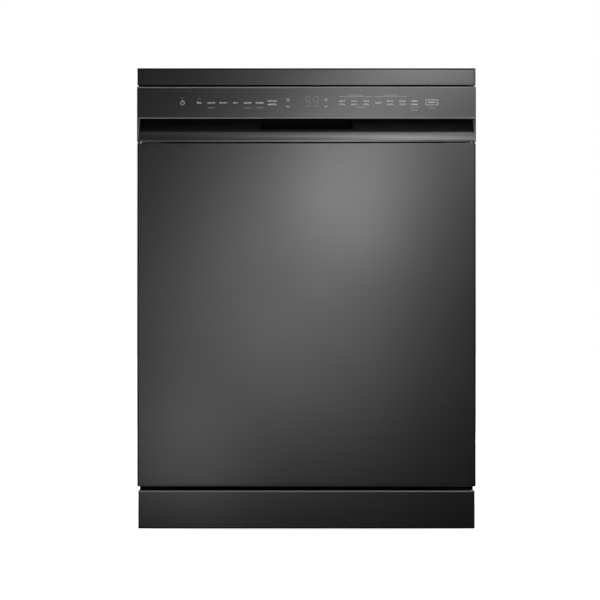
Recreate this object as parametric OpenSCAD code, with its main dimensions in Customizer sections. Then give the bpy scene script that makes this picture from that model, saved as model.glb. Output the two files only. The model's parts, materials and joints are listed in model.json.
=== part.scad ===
// Under-counter dishwasher: a cabinet with a drop-down door, a steel tub, two racks and the water parts.
// Millimetres. X runs across the front, -Y is the front, Z is up. The floor is z = 0 and the origin is
// under the middle of the machine.

/* [Outside] */
// Width over the door and the side panels
width = 600; // [596:1:604]
// Depth from the door's face to the inlet thread's end
depth = 600; // [600:1:604]
// Height from the floor to the top of the lid, with the feet screwed in
height = 820; // [818:1:824]

/* [Front] */
// Height of the worktop lid
lid_h = 30.5; // [29:0.5:32]
// Open joint between the lid and the control panel
lid_gap = 2.5; // [2:0.5:4]
// Height of the control panel
panel_h = 57; // [55:1:58]
// Height of the hand recess below it, with its lip
recess_h = 41; // [40:1:42]
// Height of the door's lower edge
door_z0 = 78.5; // [78:0.5:80]
// Height of the plinth's upper edge
plinth_top = 71.5; // [69:0.5:72]

/* [Hinge] */
// Distance of the hinge axis behind the door's face
axis_depth = 32; // [31:0.5:32]
// Height of the hinge axis
axis_z = 114; // [114:0.5:115]
// Radius of the rolled lower end of the door liner
roll_r = 24.5; // [24:0.1:24.6]

/* [Racks] */
// Height of the lower rack's floor
lower_z = 168; // [167:1:170]
// Height of the upper rack's floor
upper_z = 500; // [498:1:506]
// Wheel radius
wheel_r = 16; // [15.5:0.1:16]
// Pitch of the plate pins
pin_pitch = 34; // [32:1:36]

/* [Hidden] */
$fn = 48;
hw = width / 2;
front = -depth / 2;
rear = depth / 2;
lid_z = height - lid_h;
door_top = lid_z - lid_gap;
panel_z = door_top - panel_h;
scoop_z = panel_z - recess_h;
skin_top = scoop_z - 2;
sheet = 1;

// tub
tub_hw = hw - 28;
tub_front = front + 68;
tub_rear = rear - 38;
tub_ceiling = lid_z - 21.5;
ledge = 139;
tub_under = 118;
sill_front = front + 58;
seam = 0.2;
corner_z = 170;

// door
axis_y = front + axis_depth;
liner_face = axis_y + roll_r;
pan_face = liner_face - 12;
pan_hw = 252;
pan_r = 12;
pan_z0 = 157;
pan_z1 = 700;
door_rear = front + 54;
screw_x = hw - 13;
screw_heights = [200, 360, 520, 670];
fit = 0.05;

// hand recess
hollow_r = 67.3;
hollow_y = front - 39.5;
hollow_z = scoop_z + 68.5;
lip_r = 29.6;
pocket_hw = 82;
pocket_z0 = scoop_z + 19;

// hinge
arm_x0 = hw - 12;
arm_x1 = hw - 8;
bracket_x0 = hw - 16.5;
bracket_x1 = hw - 12.5;
pin_r = 5;
cam_r = 40;
spring_y = 64;

// base
base_hw = hw - 4;
base_front = front + 72;
base_rear = rear - 14;
base_floor = 14;
wall = 3;
foot_r = 5;
foot_x = hw - 35;
foot_front = front + 95;
foot_rear = rear - 45;
post_x = hw - 66;
foot_places = [[-foot_x, foot_front], [foot_x, foot_front], [-foot_x, foot_rear], [foot_x, foot_rear]];

// water parts
hub = [0, 15];
bowl = [30, -15];
bowl_r = 112;
strainer = [75, -50];
salt = [-165, -40];
pump_y = 150;
pump_z = 66;
drain_y = 140;
service_z = 110;
inlet_x = -230;
drain_x = -150;
cord_x = 200;

// racks
rack_hw = 245;
rack_front = front + 72;
lower_rear = rear - 72;
upper_rear = rear - 75;
lower_h = 114;
upper_h = 100;
bar = 4;
split = 0.2;
wheel_x0 = 250.2;
wheel_x1 = 261.8;
wheel_z = ledge + wheel_r + 0.4;
wheel_front = axis_y + 135;
wheel_back = 150;
axle_r = 3;
fold_z = lower_z + 10;
fold_left = -190;
fold_mid = -100;
fold_pin_h = 82;
fold_pins = 10;
pins_mid_y = -3;
fold_y0 = pins_mid_y - pin_pitch * (fold_pins - 1) / 2;
rod_r = 2.5;
pin_rod = 2;
rail_z0 = 546;
rail_z1 = 580;
rail_front = rack_front + 3;
rail_rear = rear - 55;
shelf_x = 237;
shelf_z = 561.5;
tray_z = upper_z - 20;

// lock
tongue_z = tub_ceiling + 11;
pawl_y = front + 50;
pawl_z = tongue_z - 13;

// detergent box
box_z0 = 380;
box_z1 = 520;
box_x0 = -100;
box_x1 = 70;
rim_face = pan_face + 3;
cap_x = 35;
cap_z = 470;

// ---- shapes that repeat ----

module block(x0, x1, y0, y1, z0, z1) translate([x0, y0, z0]) cube([x1 - x0, y1 - y0, z1 - z0]);
module rod_x(x0, x1, y, z, r) translate([x0, y, z]) rotate([0, 90, 0]) cylinder(r = r, h = x1 - x0);
module rod_y(x, y0, y1, z, r) translate([x, y1, z]) rotate([90, 0, 0]) cylinder(r = r, h = y1 - y0);
module rod_z(x, y, z0, z1, r) translate([x, y, z0]) cylinder(r = r, h = z1 - z0);

// Extrudes an outline drawn as (y, z) along X, and one drawn as (x, z) along Y.
module along_x(x0, x1) translate([x0, 0, 0]) rotate([90, 0, 90]) linear_extrude(x1 - x0) children();
module along_y(y0, y1) translate([0, y1, 0]) rotate([90, 0, 0]) linear_extrude(y1 - y0) children();

module both_sides() {
    children();
    mirror([1, 0, 0]) children();
}

module area(a0, a1, b0, b1) translate([a0, b0]) square([a1 - a0, b1 - b0]);

module round_area(a0, a1, b0, b1, r) {
    area(a0 + r, a1 - r, b0, b1);
    area(a0, a1, b0 + r, b1 - r);
    for (a = [a0 + r, a1 - r], b = [b0 + r, b1 - r]) translate([a, b]) circle(r);
}

// A flat wire grille: columns by rows of open cells between bars.
module grille(a0, a1, b0, b1, columns, rows) {
    cell_a = (a1 - a0 - bar) / columns;
    cell_b = (b1 - b0 - bar) / rows;
    difference() {
        area(a0, a1, b0, b1);
        for (i = [0:columns - 1], j = [0:rows - 1])
            translate([a0 + bar + i * cell_a, b0 + bar + j * cell_b]) square([cell_a - bar, cell_b - bar]);
    }
}

// The tub's cross-section: square at the floor and rounded at the ceiling.
module tub_area(grow, z0) {
    area(-tub_hw - grow, tub_hw + grow, z0, tub_ceiling - 60);
    round_area(-tub_hw - grow, tub_hw + grow, tub_ceiling - 120, tub_ceiling + grow, 23 + grow);
}

// ---- cabinet ----

// A tray of sheets: a floor with foot sockets and posts, four walls, and two arms that carry the plinth.
module base_pan() {
    inner = base_hw - wall;
    tray = base_floor + wall;
    color("#2b2d30") difference() {
        union() {
            difference() {
                block(-base_hw, base_hw, base_front, base_rear, base_floor, 60);
                block(-inner, inner, base_front + wall, base_rear - wall, tray, 61);
            }
            for (p = foot_places) rod_z(p.x, p.y, base_floor, 58, 15);
            both_sides() {
                block(210, 222, front + 7.5, base_front + 1, 20, 50);
                block(base_hw - 1, hw - sheet, -200, 270, 30, 50);
                for (y = [-122, 190]) rod_z(post_x, y, base_floor, tub_under, 8);
            }
            block(-200, 200, base_rear - 1, rear - 11, 30, 50);
        }
        for (p = foot_places) rod_z(p.x, p.y, base_floor - 1, 59, foot_r + fit);
        block(-hw, hw, base_front, base_rear, tray, tray + seam);
        block(-hw, hw, base_front - seam, base_front, tray, height);
        both_sides() block(inner - seam, inner, base_front - 1, rear, tray, 61);
    }
}

module side_panel() {
    along_x(hw - sheet, hw) difference() {
        area(front + 60, rear - 10, 20, door_top);
        area(front + 59, front + 71, 19, 110);
    }
    block(hw - 13, hw - sheet / 2, front + 60, front + 61, corner_z + 2, door_top);
}

module side_panel_right() color("#3c3d40") side_panel();
module side_panel_left() color("#3c3d40") mirror([1, 0, 0]) side_panel();

module rear_panel() {
    color("#8d9094") difference() {
        block(-hw + sheet, hw - sheet, rear - 11, rear - 10, 20, door_top);
        rod_y(inlet_x, rear - 12, rear, service_z, 17);
        rod_y(drain_x, rear - 12, rear, service_z, 14.5);
        rod_y(cord_x, rear - 12, rear, service_z, 11.5);
    }
}

module worktop_lid() {
    color("#26272a") block(-hw + 0.5, hw - 0.5, front + 14, rear - 2, lid_z, height);
}

module worktop_trim() {
    color("#2c2d30") along_x(-hw + 0.5, hw - 0.5) {
        round_area(front + 1, front + 12, lid_z, height, 2);
        area(front + 6, front + 14, lid_z, height);
    }
}

// A closed cross member that carries the lid on two pads.
module cross_member(y0, y1, z1) {
    difference() {
        block(-hw + sheet, hw - sheet, y0, y1, tub_ceiling + sheet, z1);
        block(-hw + 2.5, hw - 2.5, y0 + 1.5, y1 - 1.5, tub_ceiling + 2.5, z1 - 1.5);
    }
    both_sides() block(250, 290, y0 + 3, y1 - 3, z1, lid_z);
}

module top_brace() {
    color("#9a9ca0") difference() {
        union() {
            cross_member(tub_front + sheet, tub_front + 29, door_top);
            cross_member(tub_rear + 2, rear - 11, door_top);
            both_sides() block(hw - 7, hw - sheet, tub_front + 28, tub_rear + 3, door_top - 12, door_top);
        }
        both_sides() rod_z(150, tub_front + 15, tub_ceiling, lid_z, 2.5);
    }
}

module plinth_panel() {
    color("#2f3033") {
        block(-hw + 1.5, hw - 1.5, front + 6, front + 7.5, 4, plinth_top);
        both_sides() block(hw - 3, hw - 1.5, front + 7, front + 30, 4, 62);
    }
}

module foot(x, y) {
    color("#46484b") {
        rod_z(x, y, 0, 8, 22);
        rod_z(x, y, 7, 70, foot_r);
        translate([x, y, 7]) cylinder(r = 10, h = 6, $fn = 6);
    }
}

module foot_front_left() foot(-foot_x, foot_front);
module foot_front_right() foot(foot_x, foot_front);
module foot_rear_left() foot(-foot_x, foot_rear);
module foot_rear_right() foot(foot_x, foot_rear);

// ---- tub ----

// Sheets welded along narrow seams: two sides, a ceiling with rounded corners, a back and a front flange.
module tub_wrapper() {
    corner_x = tub_hw - 23;
    corner_top = tub_ceiling - 23;
    color("#c3c5c8") difference() {
        union() {
            difference() {
                along_y(tub_front, tub_rear + sheet) tub_area(sheet, tub_under);
                along_y(tub_front - 1, tub_rear) tub_area(0, tub_under - 1);
            }
            along_y(tub_front, tub_front + sheet) difference() {
                round_area(-hw + 3, hw - 3, ledge, door_top - 1, 6);
                tub_area(0, ledge - 1);
                both_sides() area(hw - 17.5, hw, 0, corner_z);
            }
        }
        block(-hw, hw, tub_front + sheet, tub_front + sheet + seam, 0, height);
        block(-hw, hw, tub_rear - seam, tub_rear, 0, height);
        block(-hw, hw, tub_front - 1, tub_rear, corner_top, corner_top + seam);
        both_sides() block(corner_x, corner_x + seam, tub_front - 1, tub_rear, corner_top, height);
    }
}

module tub_floor() {
    color("#b9bbbe") difference() {
        block(-tub_hw, tub_hw, sill_front, tub_rear, tub_under, ledge);
        translate([0, 0, tub_under + 6]) linear_extrude(30)
            round_area(-238, 238, sill_front + 30, tub_rear - 20, 45);
        rod_z(bowl.x, bowl.y, tub_under - 1, ledge, bowl_r);
        rod_z(salt.x, salt.y, tub_under - 1, ledge, 34);
    }
}

// The door seal and, below the sill, the lower seal strip.
module door_gasket() {
    color("#2a2a2c") {
        along_y(liner_face + 0.8, tub_front) difference() {
            union() {
                area(-tub_hw - 9.5, tub_hw + 9.5, 141, tub_ceiling - 60);
                round_area(-tub_hw - 9.5, tub_hw + 9.5, tub_ceiling - 120, tub_ceiling + 9.5, 32.5);
            }
            tub_area(1.5, 140);
        }
        block(-262, 262, liner_face + 0.4, sill_front, 121, 133);
    }
}

module latch_striker() {
    color("#b5b7ba") {
        block(-22, 22, tub_front - 2, tub_front, tongue_z - 1, door_top - 1);
        difference() {
            block(-6, 6, front + 34, tub_front - 1, tongue_z, tongue_z + 4);
            block(-7, 7, front + 36.5, front + 46.5, tongue_z - 1, tongue_z + 2.2);
        }
    }
}

// ---- hinges ----

module hinge_bracket() {
    along_x(bracket_x0, bracket_x1) {
        translate([axis_y, axis_z]) circle(12);
        area(axis_y, base_front, axis_z - 5, axis_z + 11);
        area(base_front - 1, -150, 62, axis_z + 11);
        area(base_front + 4, -150, base_floor + wall, 62);
        area(-151, spring_y + 6, axis_z - 9, axis_z + 11);
        area(spring_y - 6, spring_y + 6, axis_z, axis_z + cam_r + 10);
    }
    rod_x(bracket_x0, arm_x1, axis_y, axis_z, pin_r);
    rod_x(bracket_x1 - 1, arm_x1 + 2, spring_y, axis_z + cam_r, 3);
}

module hinge_brackets() color("#a6a8ab") both_sides() hinge_bracket();

// A cord that leaves the cam's rim and the coil spring that pulls it.
module door_spring() {
    x = (arm_x0 + arm_x1) / 2;
    z = axis_z + cam_r + 1.9;
    rod_y(x, axis_y + 6.5, -70, z, 1.4);
    difference() {
        rod_y(x, -72, spring_y - 6, z, 8);
        rod_y(x, -68, spring_y - 5, z, 6);
    }
}

module door_springs() color("#8b8e92") both_sides() door_spring();

// ---- door ----

module door_outer_panel() {
    color("#47484b") {
        difference() {
            translate([0, 0, door_z0]) linear_extrude(skin_top - door_z0) difference() {
                union() {
                    round_area(-hw, hw, front, door_rear, 3);
                    area(-hw, hw, front + 20, door_rear);
                }
                area(-hw + sheet, hw - sheet, front + sheet, rear);
            }
            along_x(-hw - 1, hw + 1) difference() {
                area(axis_y - 8, axis_y + 40, door_z0 - 9, axis_z);
                translate([axis_y, axis_z]) circle(roll_r);
            }
        }
        block(-hw + sheet / 2, hw - sheet / 2, front + sheet / 2, axis_y - 8, door_z0, door_z0 + sheet);
        block(-hw + sheet / 2, hw - sheet / 2, front + sheet / 2, front + 15, skin_top - sheet, skin_top);
    }
}

// The hand recess: a hollow arc under the control panel that rolls out into a rounded lip.
module scoop_area(thick) {
    difference() {
        area(front, front + 36, scoop_z + thick, panel_z);
        translate([hollow_y, hollow_z]) circle(hollow_r + thick);
        difference() {
            area(front - 1, front + 20, scoop_z + 0.5, scoop_z + 21.3);
            translate([front + lip_r, scoop_z + 0.5]) circle(lip_r - thick);
        }
        if (thick == 0) difference() {
            area(front - 1, front + 2, scoop_z - 1, scoop_z + 2);
            translate([front + 2, scoop_z + 2]) circle(2);
        }
        if (thick > 0) area(front - 1, front + thick, scoop_z, scoop_z + 3);
    }
}

// The recess wall in three lengths, and behind its middle a box for the fingertips.
module handle_scoop() {
    box_z0 = pocket_z0 - 2;
    box_z1 = scoop_z + 62;
    box_hw = pocket_hw + 2;
    color("#232427") difference() {
        union() {
            difference() {
                along_x(-hw + 1.5, hw - 1.5) difference() {
                    scoop_area(0);
                    scoop_area(2.5);
                    area(front + 30, front + 37, scoop_z, scoop_z + 5);
                }
                block(-pocket_hw, pocket_hw, front + 7.8, door_rear, pocket_z0, panel_z + 1);
            }
            difference() {
                block(-box_hw, box_hw, front + 7.8, front + 50, box_z0, box_z1);
                block(-pocket_hw, pocket_hw, front + 25, front + 48, pocket_z0, box_z1 - 2);
                block(-box_hw - 1, box_hw + 1, front, front + 23, pocket_z0, box_z1 + 1);
                block(-pocket_hw, pocket_hw, front + 6, front + 26, pocket_z0, panel_z);
            }
        }
        both_sides() block(box_hw + seam, box_hw + 2 * seam, front - 1, rear, scoop_z - 1, box_z1);
    }
}

module handle_end_caps() {
    color("#5a5b5e") both_sides() along_x(hw - 1.5, hw) {
        scoop_area(0);
        area(front + 35, door_rear, scoop_z, panel_z);
    }
}

module control_panel() {
    color("#34353a") difference() {
        union() {
            along_x(-hw, hw) polygon([
                [front, panel_z + 1.2], [front + 1.2, panel_z], [front + 30, panel_z],
                [front + 30, panel_z + 2], [front + 2.5, panel_z + 2], [front + 2.5, door_top - 2],
                [door_rear, door_top - 2], [door_rear, door_top], [front + 1.2, door_top],
                [front, door_top - 1.2]
            ]);
            both_sides() block(hw - 2, hw, front + 2, door_rear, panel_z, door_top);
            for (x = [-220, 220]) block(x - 8, x + 8, front + 38, liner_face - 1, door_top - 15, door_top - 1);
        }
        block(-40, 42, front - 1, front + 3, panel_z + 14, panel_z + 44);
        block(-pocket_hw - 2.5, pocket_hw + 2.5, front + 22.5, door_rear, panel_z - 1, panel_z + 3);
    }
}

module display_window() color("#101114") block(-40, 42, front, front + 2.5, panel_z + 14, panel_z + 44);

module control_board() {
    color("#2e5b3c") {
        block(-150, 170, front + 10, front + 11.6, panel_z + 8, panel_z + 48);
        block(-36, 38, front + 2.5, front + 10, panel_z + 16, panel_z + 42);
        for (x = [-140, 160]) rod_y(x, front + 2.5, front + 10, panel_z + 28, 4);
        for (x = [-110:40:130]) block(x, x + 18, front + 11.6, front + 17, panel_z + 30, panel_z + 44);
    }
}

// The inner door: a flange round a shallow pan, rolled round the hinge axis at its lower end.
module door_liner() {
    color("#bfc1c4") {
        difference() {
            union() {
                along_y(liner_face - sheet, liner_face) difference() {
                    round_area(-hw + 3, hw - 3, axis_z, door_top - 2, 6);
                    both_sides() area(hw - 18, hw, 0, corner_z);
                }
                along_y(pan_face - sheet, liner_face - sheet / 2)
                    round_area(-pan_hw - sheet, pan_hw + sheet, pan_z0 - sheet, pan_z1 + sheet, pan_r + sheet);
            }
            along_y(pan_face, liner_face + 1) round_area(-pan_hw, pan_hw, pan_z0, pan_z1, pan_r);
            block(box_x0, box_x1, front, liner_face, box_z0, box_z1);
            block(-14, 14, liner_face - 3, liner_face + 1, tongue_z - 15, door_top);
            both_sides() for (z = screw_heights) rod_y(screw_x, liner_face - 5, liner_face + 1, z, 2);
        }
        along_x(-hw + 18, hw - 18) intersection() {
            translate([axis_y, axis_z]) difference() {
                circle(roll_r);
                circle(roll_r - sheet);
            }
            area(axis_y, axis_y + 30, axis_z - 30, axis_z);
        }
    }
}

module hinge_arm() {
    difference() {
        along_x(arm_x0, arm_x1) {
            translate([axis_y, axis_z]) circle(16);
            area(axis_y - 22, axis_y + 6, axis_z - 14, axis_z + 150);
            intersection() {
                translate([axis_y, axis_z]) circle(cam_r);
                area(axis_y, axis_y + cam_r, axis_z, axis_z + cam_r);
            }
        }
        rod_x(arm_x0 - 1, arm_x1 + 1, axis_y, axis_z, pin_r + fit);
    }
}

module door_frame() {
    stile = arm_x1 + 1.5;
    bottom = door_z0 + 3.5;
    color("#8f9195") difference() {
        union() {
            both_sides() {
                hinge_arm();
                along_x(arm_x1, stile) {
                    area(front + sheet, liner_face - sheet, corner_z + 2, skin_top - sheet);
                    area(front + sheet, axis_y + 21, axis_z + 16, corner_z + 3);
                    area(front + sheet, axis_y + 6, bottom, axis_z + 17);
                }
                block(hw - 24, stile, front + sheet, front + 2.5, bottom, skin_top - sheet);
                block(hw - 24, stile, liner_face - 2.5, liner_face - sheet, corner_z + 2, skin_top - sheet);
            }
            block(-stile, stile, front + sheet, front + 20, skin_top - 5, skin_top - sheet);
            block(-stile, stile, front + sheet, front + 10, bottom, bottom + 2);
        }
        both_sides() for (z = screw_heights) rod_y(screw_x, liner_face - 5, liner_face, z, 2);
        both_sides() rod_x(arm_x1 - 1, stile + 1, axis_y, axis_z, pin_r + fit);
    }
}

module door_insulation() color("#4a4038") block(-268, 268, front + sheet, front + 9, 100, 680);

module door_screws() {
    color("#d5d7da") both_sides() for (z = screw_heights) {
        rod_y(screw_x, liner_face, liner_face + 1.8, z, 4);
        rod_y(screw_x, liner_face - 8, liner_face + 0.5, z, 2);
    }
}

module latch_body() {
    color("#3b3d40") {
        difference() {
            block(-24, 24, front + 26, liner_face - sheet, tongue_z - 27, door_top - 2);
            block(-8, 8, front + 29, liner_face + 1, tongue_z - 21, door_top - 1);
        }
        rod_x(-9, 9, pawl_y, pawl_z, 2);
    }
}

module latch_pawl() {
    color("#c7c9cc") difference() {
        union() {
            rod_x(-5, 5, pawl_y, pawl_z, 3.6);
            block(-5, 5, pawl_y - 12, pawl_y, pawl_z - 2, pawl_z + 2);
            block(-5, 5, pawl_y - 12, pawl_y - 7, pawl_z - 2, tongue_z - 0.4);
        }
        rod_x(-6, 6, pawl_y, pawl_z, 2 + fit);
    }
}

module dispenser_body() {
    color("#6d7074") {
        difference() {
            union() {
                block(box_x0, box_x1, pan_face - 32, rim_face, box_z0, box_z1);
                block(box_x0 - 4, box_x1 + 4, pan_face, rim_face, box_z0 - 4, box_z1 + 4);
            }
            block(-90, -6, pan_face - 26, rim_face + 1, 448, 512);
            rod_y(cap_x, pan_face - 20, rim_face + 1, cap_z, 16);
        }
        for (x = [-98, -0.8]) block(x, x + 2.5, rim_face - 1, rim_face + 4, box_z0 + 4, box_z1 - 4);
    }
}

module detergent_lid() {
    color("#8b8e92") {
        block(-95, -1.3, rim_face + 0.3, rim_face + 2.8, 446, 514);
        block(-70, -26, rim_face + 2, rim_face + 4, 450, 456);
    }
}

module rinse_aid_cap() {
    color("#54575b") {
        rod_y(cap_x, rim_face + 0.3, rim_face + 2.6, cap_z, 20);
        rod_y(cap_x, rim_face - 9, rim_face + 1, cap_z, 16 - fit);
        block(cap_x - 3, cap_x + 3, rim_face + 2, rim_face + 4.4, cap_z - 16, cap_z + 16);
    }
}

// ---- racks ----

// A basket of five flat grilles: its floor, its two sides, its front and its back.
module basket(z0, high, back) {
    translate([0, 0, z0]) linear_extrude(bar) grille(-rack_hw, rack_hw, rack_front, back, 9, 9);
    both_sides() along_x(rack_hw - bar, rack_hw)
        grille(rack_front, back, z0 + bar + split, z0 + high, 8, 2);
    for (y = [rack_front, back - bar]) along_y(y, y + bar)
        grille(-rack_hw + bar + split, rack_hw - bar - split, z0 + bar + split, z0 + high, 8, 2);
}

// A row of upright pins along Y.
module pin_row(x, y0, z0, high, count) {
    for (i = [0:count - 1]) rod_z(x, y0 + i * pin_pitch, z0, z0 + high, pin_rod);
}

module wheel_carrier(y) {
    block(rack_hw + split, wheel_x0 - 0.6, y - 12, y + 12, wheel_z - 8, lower_z + 12);
    rod_x(rack_hw + 1, wheel_x1 + 1.5, y, wheel_z, axle_r);
}

module rod_clip(x, y) {
    difference() {
        union() {
            rod_y(x, y - 4, y + 4, fold_z, 5);
            block(x - 5, x + 5, y - 4, y + 4, lower_z + bar + split, fold_z);
        }
        rod_y(x, y - 5, y + 5, fold_z, rod_r + fit);
    }
}

module lower_basket() {
    color("#a9acb0") {
        basket(lower_z, lower_h, lower_rear);
        for (x = [30, 100]) pin_row(x, fold_y0, lower_z + bar + split, 78, fold_pins);
        both_sides() for (y = [wheel_front, wheel_back]) wheel_carrier(y);
        for (x = [fold_left, fold_mid], y = [-1, 1]) rod_clip(x, pins_mid_y + y * pin_pitch * 3);
        block(-60, 60, rack_front - 8, rack_front - split, lower_z + lower_h - 26, lower_z + lower_h + 6);
    }
}

module wheels(y) {
    color("#7c7f83") both_sides() difference() {
        rod_x(wheel_x0, wheel_x1, y, wheel_z, wheel_r);
        rod_x(wheel_x0 - 1, wheel_x1 + 1, y, wheel_z, axle_r + fit);
    }
}

module lower_wheels_front() wheels(wheel_front);
module lower_wheels_rear() wheels(wheel_back);

module fold_row(x) {
    length = pin_pitch * fold_pins;
    color("#b4b7bb") {
        rod_y(x, pins_mid_y - length / 2, pins_mid_y + length / 2, fold_z, rod_r);
        pin_row(x, fold_y0, fold_z + rod_r + split, fold_pin_h - rod_r, fold_pins);
    }
}

module lower_tines_left() fold_row(fold_left);
module lower_tines_mid() fold_row(fold_mid);

module cutlery_basket() {
    floor_z = lower_z + bar + 0.5;
    color("#5d6064") {
        difference() {
            block(156, 236, -190, 50, floor_z, floor_z + 118);
            for (i = [0:3]) block(159, 233, -187 + i * 59, -131 + i * 59, floor_z + 3, floor_z + 119);
        }
        block(193, 199, -131, -128, floor_z + 100, floor_z + 150);
        block(193, 199, -13, -10, floor_z + 100, floor_z + 150);
        block(193, 199, -131, -10, floor_z + 147, floor_z + 153);
    }
}

// Telescopic rails: each member is a channel inside the next.
module channel(x0, x1, web_x0, web_x1, y0, y1, z0, z1) {
    block(web_x0, web_x1, y0, y1, z0, z1);
    block(x0, x1, y0, y1, z0, z0 + 1.5);
    block(x0, x1, y0, y1, z1 - 1.5, z1);
}

module rails_fixed() {
    color("#b0b2b5") both_sides()
        channel(tub_hw - 9, tub_hw, tub_hw - 1.5, tub_hw, rail_front, rail_rear, rail_z0, rail_z1);
}

module rails_middle() {
    color("#9fa1a4") both_sides()
        channel(tub_hw - 13, tub_hw - 2, tub_hw - 3.5, tub_hw - 2, rail_front, rail_rear,
                rail_z0 + 2, rail_z1 - 2);
}

module upper_basket() {
    color("#a9acb0") {
        basket(upper_z, upper_h, upper_rear);
        for (x = [-70, 0, 70]) pin_row(x, fold_y0, upper_z + bar + split, 52, fold_pins);
        both_sides() {
            channel(rack_hw + 3, tub_hw - 4, rack_hw + 3, rack_hw + 4.5, rail_front, upper_rear,
                    rail_z0 + 4, rail_z1 - 4);
            for (y = [-160, 0, 160]) block(rack_hw + split, rack_hw + 3.5, y - 12, y + 12, rail_z0 + 6, rail_z1 - 6);
        }
        block(-60, 60, rack_front - 8, rack_front - split, upper_z + upper_h - 22, upper_z + upper_h + 6);
    }
}

module upper_feed_tube() {
    color("#808388") {
        rod_y(0, hub.y, rear - 51, tray_z, 9);
        rod_z(hub.x, hub.y, tray_z - 18, tray_z, 14);
        rod_z(hub.x, hub.y, tray_z - 38, tray_z - 17, 6);
        rod_z(hub.x, hub.y, tray_z - 41, tray_z - 36, 9);
        for (y = [60, 180]) block(-5, 5, y, y + 10, tray_z, upper_z - split);
    }
}

module shelf() {
    rod_y(shelf_x, -180, 180, shelf_z, rod_r);
    translate([0, 0, shelf_z - 1.5]) linear_extrude(3) grille(shelf_x - 88, shelf_x - 1, -180, 180, 3, 9);
}

module cup_shelf_right() color("#8d9095") shelf();
module cup_shelf_left() color("#8d9095") mirror([1, 0, 0]) shelf();

// ---- water parts ----

// A rotating arm with two rounded blades on a bored hub.
module spray_arm(z, reach, blade, shaft) {
    difference() {
        union() {
            block(-reach + blade, reach - blade, hub.y - blade, hub.y + blade, z, z + 11);
            for (x = [-reach + blade, reach - blade]) rod_z(x, hub.y, z, z + 11, blade);
            rod_z(hub.x, hub.y, z - 1, z + 13, 24);
        }
        rod_z(hub.x, hub.y, z - 2, z + 14, shaft + fit);
    }
}

module lower_spray_arm() color("#83868b") spray_arm(146, 230, 20, 8);
module upper_spray_arm() color("#83868b") spray_arm(tray_z - 33, 225, 17, 6);

module ceiling_sprinkler() {
    color("#83868b") difference() {
        rod_z(hub.x, hub.y, tub_ceiling - 26, tub_ceiling - 18, 52);
        rod_z(hub.x, hub.y, tub_ceiling - 27, tub_ceiling - 17, 5 + fit);
    }
}

module water_riser() {
    color("#75787d") {
        block(-14, 14, rear - 50, tub_rear, ledge, tub_ceiling);
        block(-14, 14, hub.y - 14, rear - 40, tub_ceiling - 12, tub_ceiling);
        rod_z(hub.x, hub.y, tub_ceiling - 30, tub_ceiling - 11, 5);
        rod_z(hub.x, hub.y, tub_ceiling - 34, tub_ceiling - 28, 8);
    }
}

module sump_housing() {
    color("#55585c") difference() {
        union() {
            difference() {
                rod_z(bowl.x, bowl.y, 60, tub_under + 6, bowl_r);
                rod_z(bowl.x, bowl.y, 63, tub_under + 3, bowl_r - 8);
                rod_z(bowl.x, bowl.y, tub_under + 2.9, tub_under + 7, bowl_r - 3);
            }
            rod_z(hub.x, hub.y, 61, 144, 16);
            rod_z(hub.x, hub.y, 143, 162, 8);
            rod_z(hub.x, hub.y, 160.5, 164, 12);
            for (p = [[-40, -60], [95, 40]]) rod_z(p.x, p.y, base_floor + wall, 61, 7);
        }
        rod_z(strainer.x, strainer.y, 61, 66, 30);
    }
}

module filter_plate() {
    color("#c9cbce") difference() {
        rod_z(bowl.x, bowl.y, tub_under + 3, tub_under + 4.5, bowl_r - 3.2);
        rod_z(hub.x, hub.y, tub_under, tub_under + 9, 17);
        rod_z(strainer.x, strainer.y, tub_under, tub_under + 9, 37);
    }
}

module filter_cup() {
    color("#3f4246") {
        difference() {
            rod_z(strainer.x, strainer.y, 68, tub_under + 8, 36);
            rod_z(strainer.x, strainer.y, 71, tub_under + 9, 33);
        }
        block(strainer.x - 34, strainer.x + 34, strainer.y - 2.5, strainer.y + 2.5, tub_under - 12,
              tub_under + 8);
    }
}

module softener_tank() {
    color("#dfe1e3") difference() {
        union() {
            block(-232, -108, -110, 40, base_floor + wall, service_z);
            rod_z(salt.x, salt.y, service_z - 1, tub_under + 8, 34);
        }
        block(-229, -111, -107, 37, base_floor + 6, service_z - 3);
        rod_z(salt.x, salt.y, service_z - 4, tub_under + 9, 26);
    }
}

module salt_cap() {
    color("#5c86b5") {
        rod_z(salt.x, salt.y, tub_under + 8.3, tub_under + 14, 31);
        rod_z(salt.x, salt.y, tub_under - 3, tub_under + 9, 26 - fit);
        block(salt.x - 26, salt.x + 26, salt.y - 3, salt.y + 3, tub_under + 13, tub_under + 20);
    }
}

module pump_housing() {
    color("#3a3c40") difference() {
        union() {
            rod_x(60, 200, pump_y, pump_z, 36);
            rod_x(38, 60.5, pump_y, pump_z, 42);
            block(90, 170, pump_y - 20, pump_y + 20, base_floor + wall, pump_z);
            block(42, 56, 96.3, pump_y, pump_z + 14, pump_z + 30);
        }
        rod_x(64, 196, pump_y, pump_z, 32);
        rod_x(42, 60, pump_y, pump_z, 37);
        rod_x(38.5, 199.5, pump_y, pump_z, 4 + fit);
    }
}

module pump_rotor() {
    color("#b8babd") {
        rod_x(39, 199, pump_y, pump_z, 4);
        rod_x(80, 180, pump_y, pump_z, 26);
        rod_x(45, 57, pump_y, pump_z, 33);
    }
}

module drain_pump_housing() {
    color("#3a3c40") {
        rod_x(-90, -20, drain_y, 58, 26);
        rod_x(-105, -89, drain_y, 58, 34);
        block(-80, -40, drain_y - 15, drain_y + 15, base_floor + wall, 50);
    }
}

module inlet_valve() {
    color("#e2e4e6") {
        block(inlet_x - 22, inlet_x + 22, tub_rear + 4, rear - 11, service_z - 24, service_z + 24);
        rod_y(inlet_x, rear - 12, rear, service_z, 13.2);
    }
}

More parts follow.
